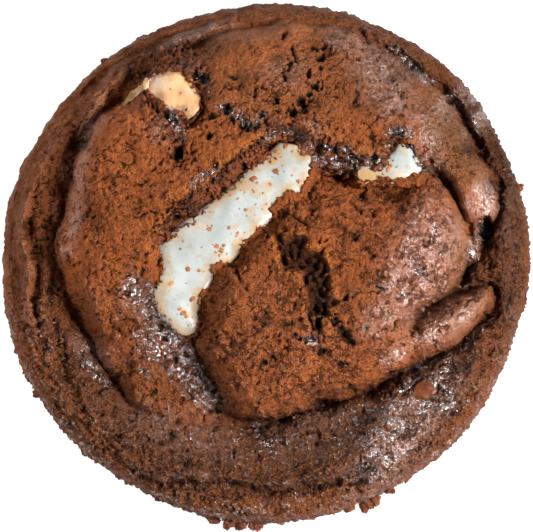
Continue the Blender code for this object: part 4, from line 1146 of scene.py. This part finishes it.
def strand(name, path, wide, lift, material, seed):
    """A thin smear lying on the dough along the path: its half width and lift in mm at even steps."""
    line = smooth_curve(path, False, 8)
    t = np.linspace(0, 1, len(line))
    turn = np.linspace(0, 2 * math.pi, 14, endpoint=False)
    heading = np.gradient(line, axis=0)
    heading /= np.linalg.norm(heading, axis=1, keepdims=True)
    half = np.interp(t, np.linspace(0, 1, len(wide)), wide)
    rings = []
    for k, (x, y) in enumerate(line):
        u0, w0 = (x - 266) * UNIT, (266.5 - y) * UNIT
        side = np.array([heading[k, 1], heading[k, 0]])
        r = half[k] * (1 + 0.45 * lumps(np.stack([u0 + np.cos(turn), w0 + np.sin(turn), 0 * turn], 1), 1.3, seed))
        u, w = u0 + side[0] * np.cos(turn) * r, w0 + side[1] * np.cos(turn) * r
        ground = at(H + relief, u / UNIT + 266, 266.5 - w / UNIT)
        rings.append(placed(u, w, ground + lift + np.sin(turn) * np.minimum(r, 0.5) * 0.7))
    n, m = len(rings), len(turn)
    q = np.concatenate(rings + [rings[0].mean(0)[None], rings[-1].mean(0)[None]])
    k = np.arange(n * m).reshape(n, m)
    nxt = np.roll(k, -1, axis=1)
    polys = np.stack([k[:-1], k[1:], nxt[1:], nxt[:-1]], -1).reshape(-1, 4).tolist()
    polys += [[n * m, a, b] for a, b in zip(k[0], nxt[0])] + [[n * m + 1, b, a] for a, b in zip(k[-1], nxt[-1])]
    obj = mesh_object(name, q, polys, material)
    obj.data.validate()
    attribute(obj, "stain_and_highlight", np.full(len(q), 0.1))
    attribute(obj, "brown", np.append(np.repeat(0.35 + 0.25 * np.sin(23 * t) + 0.35 * t, m), [0.3, 0.8]))
    return obj


strand("toasted_strand", [(152, 82), (146, 84), (139, 89), (132, 95), (125, 102), (118, 108)],
       [0.85, 0.95, 0.60, 0.75, 0.40, 0.12], -0.05, TOASTED, 71)

# ---- crumbs and specks ----------------------------------------------------------------------------------------------------
def ball(level):
    """An even ball of triangles: points on the unit sphere and faces."""
    g = (1 + 5 ** 0.5) / 2
    v = [(-1, g, 0), (1, g, 0), (-1, -g, 0), (1, -g, 0), (0, -1, g), (0, 1, g), (0, -1, -g), (0, 1, -g), (g, 0, -1),
         (g, 0, 1), (-g, 0, -1), (-g, 0, 1)]
    f = [(0, 11, 5), (0, 5, 1), (0, 1, 7), (0, 7, 10), (0, 10, 11), (1, 5, 9), (5, 11, 4), (11, 10, 2), (10, 7, 6),
         (7, 1, 8), (3, 9, 4), (3, 4, 2), (3, 2, 6), (3, 6, 8), (3, 8, 9), (4, 9, 5), (2, 4, 11), (6, 2, 10), (8, 6, 7),
         (9, 8, 1)]
    v = [np.array(q) / np.linalg.norm(q) for q in v]
    for _ in range(level):
        made, known = [], {}

        def half(a, b):
            key = (min(a, b), max(a, b))
            if key not in known:
                q = v[a] + v[b]
                v.append(q / np.linalg.norm(q))
                known[key] = len(v) - 1
            return known[key]

        for a, b, c in f:
            d, e, g2 = half(a, b), half(b, c), half(c, a)
            made += [(a, d, g2), (b, e, d), (c, g2, e), (d, e, g2)]
        f = made
    return np.array(v), np.array(f)


BALLS = {n: ball(n) for n in (1, 2, 3)}


def crumb(bag, centre, size, seed, level=2, flat=0.6, stretch=1.0, turn=0.0):
    """Adds an uneven lump to the bag: centre and size in mm."""
    v, f = BALLS[level]
    n = v * (1 + 0.50 * lumps(v * 2 + seed * 5.1, 1.9, 60)[:, None] + 0.30 * lumps(v * 3 + seed, 1.1, 61)[:, None])
    n = n * np.array([stretch, 1, flat]) * size / 2
    c, s = math.cos(turn), math.sin(turn)
    n = n @ np.array([[c, s, 0], [-s, c, 0], [0, 0, 1]])
    bag[1].append(f + sum(len(q) for q in bag[0]))
    bag[0].append(n + np.array(centre))


def on_filling(x, y, lift=0.0):
    z = float(at(FILLING_TOP, np.array([float(x)]), np.array([float(y)]))[0]) + lift
    return (placed(np.array([(x - 266) * UNIT]), np.array([(266.5 - y) * UNIT]), np.array([z]))[0] * 1000)


specks = ([], [])
rng = np.random.default_rng(8)
for i, (x, y, size) in enumerate([
    (254, 179, 7), (257, 183, 4), (277, 172, 5.5), (270, 185, 4.5), (253, 190, 3.5), (254, 192, 3), (298, 181, 5),
    (291, 175, 2.6), (272, 177, 2.6), (246, 210, 4), (238, 198, 3), (231, 196, 3), (210, 229, 6), (208, 226, 3),
    (229, 228, 4), (237, 233, 4), (266, 204, 3.5), (256, 204, 3), (262, 209, 3), (258, 209, 2.2), (184, 241, 3),
    (202, 247, 3), (181, 249, 3), (188, 268, 5), (199, 270, 4), (171, 283, 5), (192, 298, 6), (183, 312, 7),
    (186, 316, 5), (180, 308, 5), (171, 319, 4), (165, 314, 3), (178, 330, 2.5), (244, 232, 3), (283, 166, 2.4),
    (217, 246, 5), (221, 250, 5.5), (215, 252, 3.5), (224, 245, 4), (219, 255, 4), (226, 253, 3), (236, 236, 3),
    (385, 163, 4), (390, 167, 5), (393, 161, 3), (388, 170, 4), (383, 174, 3), (396, 168, 3),
    (181, 93, 2.5), (171, 89, 2), (277, 152, 4), (286, 147, 4.5), (292, 152, 3), (282, 157, 3),
]):
    crumb(specks, on_filling(x, y, -0.06), size * UNIT * 0.95, i, 2, 0.30, rng.uniform(0.8, 1.5), rng.uniform(0, 6.3))
tries = 0
while tries < 160:
    x, y = rng.uniform(157, 318), rng.uniform(141, 335)
    tries += 1
    inside = seen["filling_main"][int(x - LOW), int(y - LOW)]
    if inside < 0.2 or rng.random() > 0.85 * math.exp(-inside / 1.6) + 0.22:
        continue
    crumb(specks, on_filling(x, y, 0.0), rng.uniform(1.0, 2.0) * UNIT, 100 + tries, 1, 0.4, rng.uniform(0.8, 1.4), rng.uniform(0, 6.3))
def speck_material():
    m = Nodes("speck_look")
    m.set(Base_Color=m.mix(m.range(m.noise(1.4, 2), 0.35, 0.65), (0.50, 0.205, 0.075), (0.30, 0.095, 0.032)),
          Roughness=0.55, Specular_IOR_Level=0.3)
    return m.material


mesh_object("specks", np.concatenate(specks[0]) / 1000, np.concatenate(specks[1]).tolist(), speck_material())
specks = ([], [])
# crumbs that cling to the foot and the rim, in clumps: from x, y to x, y in drawing units, height above the table and
# size in mm, and how many
clump = 300
for x0, y0, x1, y1, z, size, count in [
    (211, 518, 219, 521, 0.9, 1.7, 5), (226, 522, 244, 523, 0.8, 1.9, 10), (244, 522, 265, 521, 0.8, 1.9, 11),
    (346, 507, 352, 507, 0.8, 1.5, 4), (361, 505, 377, 502, 1.0, 2.3, 9), (372, 501, 379, 499, 0.9, 1.6, 4),
    (284, 517, 290, 516, 0.8, 1.2, 3), (300, 517, 308, 516, 0.8, 1.2, 3), (388, 491, 394, 489, 1.2, 1.2, 3),
    (404, 479, 412, 474, 1.6, 1.3, 4), (418, 470, 424, 466, 1.6, 1.1, 3), (433, 459, 438, 456, 2.2, 1.3, 3),
    (466, 424, 469, 420, 2.6, 1.2, 3), (37, 393, 38, 396, 4.2, 1.3, 3), (62, 109, 65, 106, 5.0, 1.2, 3),
    (103, 62, 106, 60, 6.0, 1.5, 3), (120, 54, 124, 52, 6.0, 1.2, 3), (151, 35, 154, 34, 6.2, 1.2, 2),
    (183, 23, 185, 22, 6.0, 1.0, 2), (376, 32, 378, 33, 6.0, 1.1, 2), (158, 497, 163, 499, 1.5, 1.1, 3),
    (187, 508, 192, 510, 1.2, 1.2, 3), (136, 485, 140, 487, 1.8, 1.0, 2),
    (519, 186, 520, 190, 5.0, 1.1, 2), (20, 335, 21, 340, 4.6, 1.1, 2),
]:
    for _ in range(count):
        t = rng.uniform()
        x, y = x0 + (x1 - x0) * t + rng.normal(0, 0.7), y0 + (y1 - y0) * t + rng.normal(0, 0.9)
        c = placed(np.array([(x - 266) * UNIT]), np.array([(266.5 - y) * UNIT]), np.array([z]))[0] * 1000
        big = size * rng.uniform(0.5, 1.1)
        c[2] = max(c[2] + rng.uniform(-0.3, 0.5), 0.3 * big)
        crumb(specks, c, big, clump, 2, 0.85, rng.uniform(0.8, 1.7), rng.uniform(0, 6.3))
        clump += 1
points = np.concatenate(specks[0])
points[:, 2] = np.maximum(points[:, 2], 0.0)
crumbs = mesh_object("crumbs", points / 1000, np.concatenate(specks[1]).tolist(), crumb_material())

# ---- the chocolate chip ---------------------------------------------------------------------------------------------------
def on_dough(x, y, lift=0.0):
    z = float(at(H + relief, np.array([float(x)]), np.array([float(y)]))[0]) + lift
    return placed(np.array([(x - 266) * UNIT]), np.array([(266.5 - y) * UNIT]), np.array([z]))[0] * 1000


chips = ([], [])
v, f = BALLS[3]
uneven = 1 + 0.22 * lumps(v * 2 + 4.0, 2.0, 62)[:, None]
chips[0].append(v * uneven * np.array([2.2, 1.75, 0.60]) + on_dough(425, 391, -0.22))
chips[1].append(f)
chip = mesh_object("chocolate_chip", np.concatenate(chips[0]) / 1000, np.concatenate(chips[1]).tolist(), chip_material())

# ---- floor, light and camera ----------------------------------------------------------------------------------------------
floor_mesh = bpy.data.meshes.new("floor")
floor_mesh.from_pydata([(-30, -30, -0.0002), (30, -30, -0.0002), (30, 30, -0.0002), (-30, 30, -0.0002)], [], [(0, 1, 2, 3)])
floor = bpy.data.objects.new("floor", floor_mesh)
bpy.context.scene.collection.objects.link(floor)
white = bpy.data.materials.new("pale_floor")
white.use_nodes = True
shader = white.node_tree.nodes["Principled BSDF"]
shader.inputs["Base Color"].default_value = (0.2, 0.2, 0.2, 1)
shader.inputs["Roughness"].default_value = 0.9
shader.inputs["Specular IOR Level"].default_value = 0.1
shader.inputs["Emission Color"].default_value = (1, 1, 1, 1)
shader.inputs["Emission Strength"].default_value = 0.94
floor_mesh.materials.append(white)

world = bpy.data.worlds.new("studio")
bpy.context.scene.world = world
world.use_nodes = True
nodes, links = world.node_tree.nodes, world.node_tree.links
back = nodes["Background"]
where = nodes.new("ShaderNodeTexCoord")
split = nodes.new("ShaderNodeSeparateXYZ")
links.new(where.outputs["Generated"], split.inputs[0])
ramp = nodes.new("ShaderNodeValToRGB")
ramp.color_ramp.interpolation = "EASE"
for place, level in ((0.0, 0.85), (0.12, 1.0), (0.45, 0.95), (0.66, 0.40), (0.84, 0.06)):
    stop = ramp.color_ramp.elements[0] if place == 0 else ramp.color_ramp.elements.new(place)
    stop.position, stop.color = place, (level, level, level * 1.02, 1)
ramp.color_ramp.elements.remove(ramp.color_ramp.elements[-1])
links.new(split.outputs["Z"], ramp.inputs[0])
links.new(ramp.outputs[0], back.inputs["Color"])
back.inputs["Strength"].default_value = 0.46


def area_light(name, place, size, power, colour):
    data = bpy.data.lights.new(name, "AREA")
    data.shape = "DISK"
    data.size = size
    data.energy = power
    data.color = colour
    obj = bpy.data.objects.new(name, data)
    bpy.context.scene.collection.objects.link(obj)
    obj.location = place
    obj.rotation_mode = "QUATERNION"
    obj.rotation_quaternion = (Vector((0, 0, 0.012)) - Vector(place)).to_track_quat("-Z", "Y")
    obj.visible_camera = False


area_light("key", (0.62, -0.16, 0.62), 0.30, 15.5, (1.0, 0.99, 0.98))
area_light("fill", (-0.64, 0.02, 0.48), 0.50, 2.6, (0.97, 0.985, 1.0))

FAR = 3.0
camera_data = bpy.data.cameras.new("camera")
camera = bpy.data.objects.new("camera", camera_data)
bpy.context.scene.collection.objects.link(camera)
bpy.context.scene.camera = camera
camera_data.sensor_width = 36
camera_data.lens = 36 * FAR / (533 * UNIT / 1000)
camera_data.clip_start, camera_data.clip_end = 0.05, 50
aim = Vector(placed(np.array([0.095]), np.array([0.095]), np.array([12.0]))[0])
back_way = Vector((0, -math.cos(ELEVATION), math.sin(ELEVATION)))
camera.location = aim + back_way * FAR
camera.rotation_mode = "QUATERNION"
camera.rotation_quaternion = (-back_way).to_track_quat("-Z", "Y")
bpy.context.scene.view_settings.view_transform = "Standard"
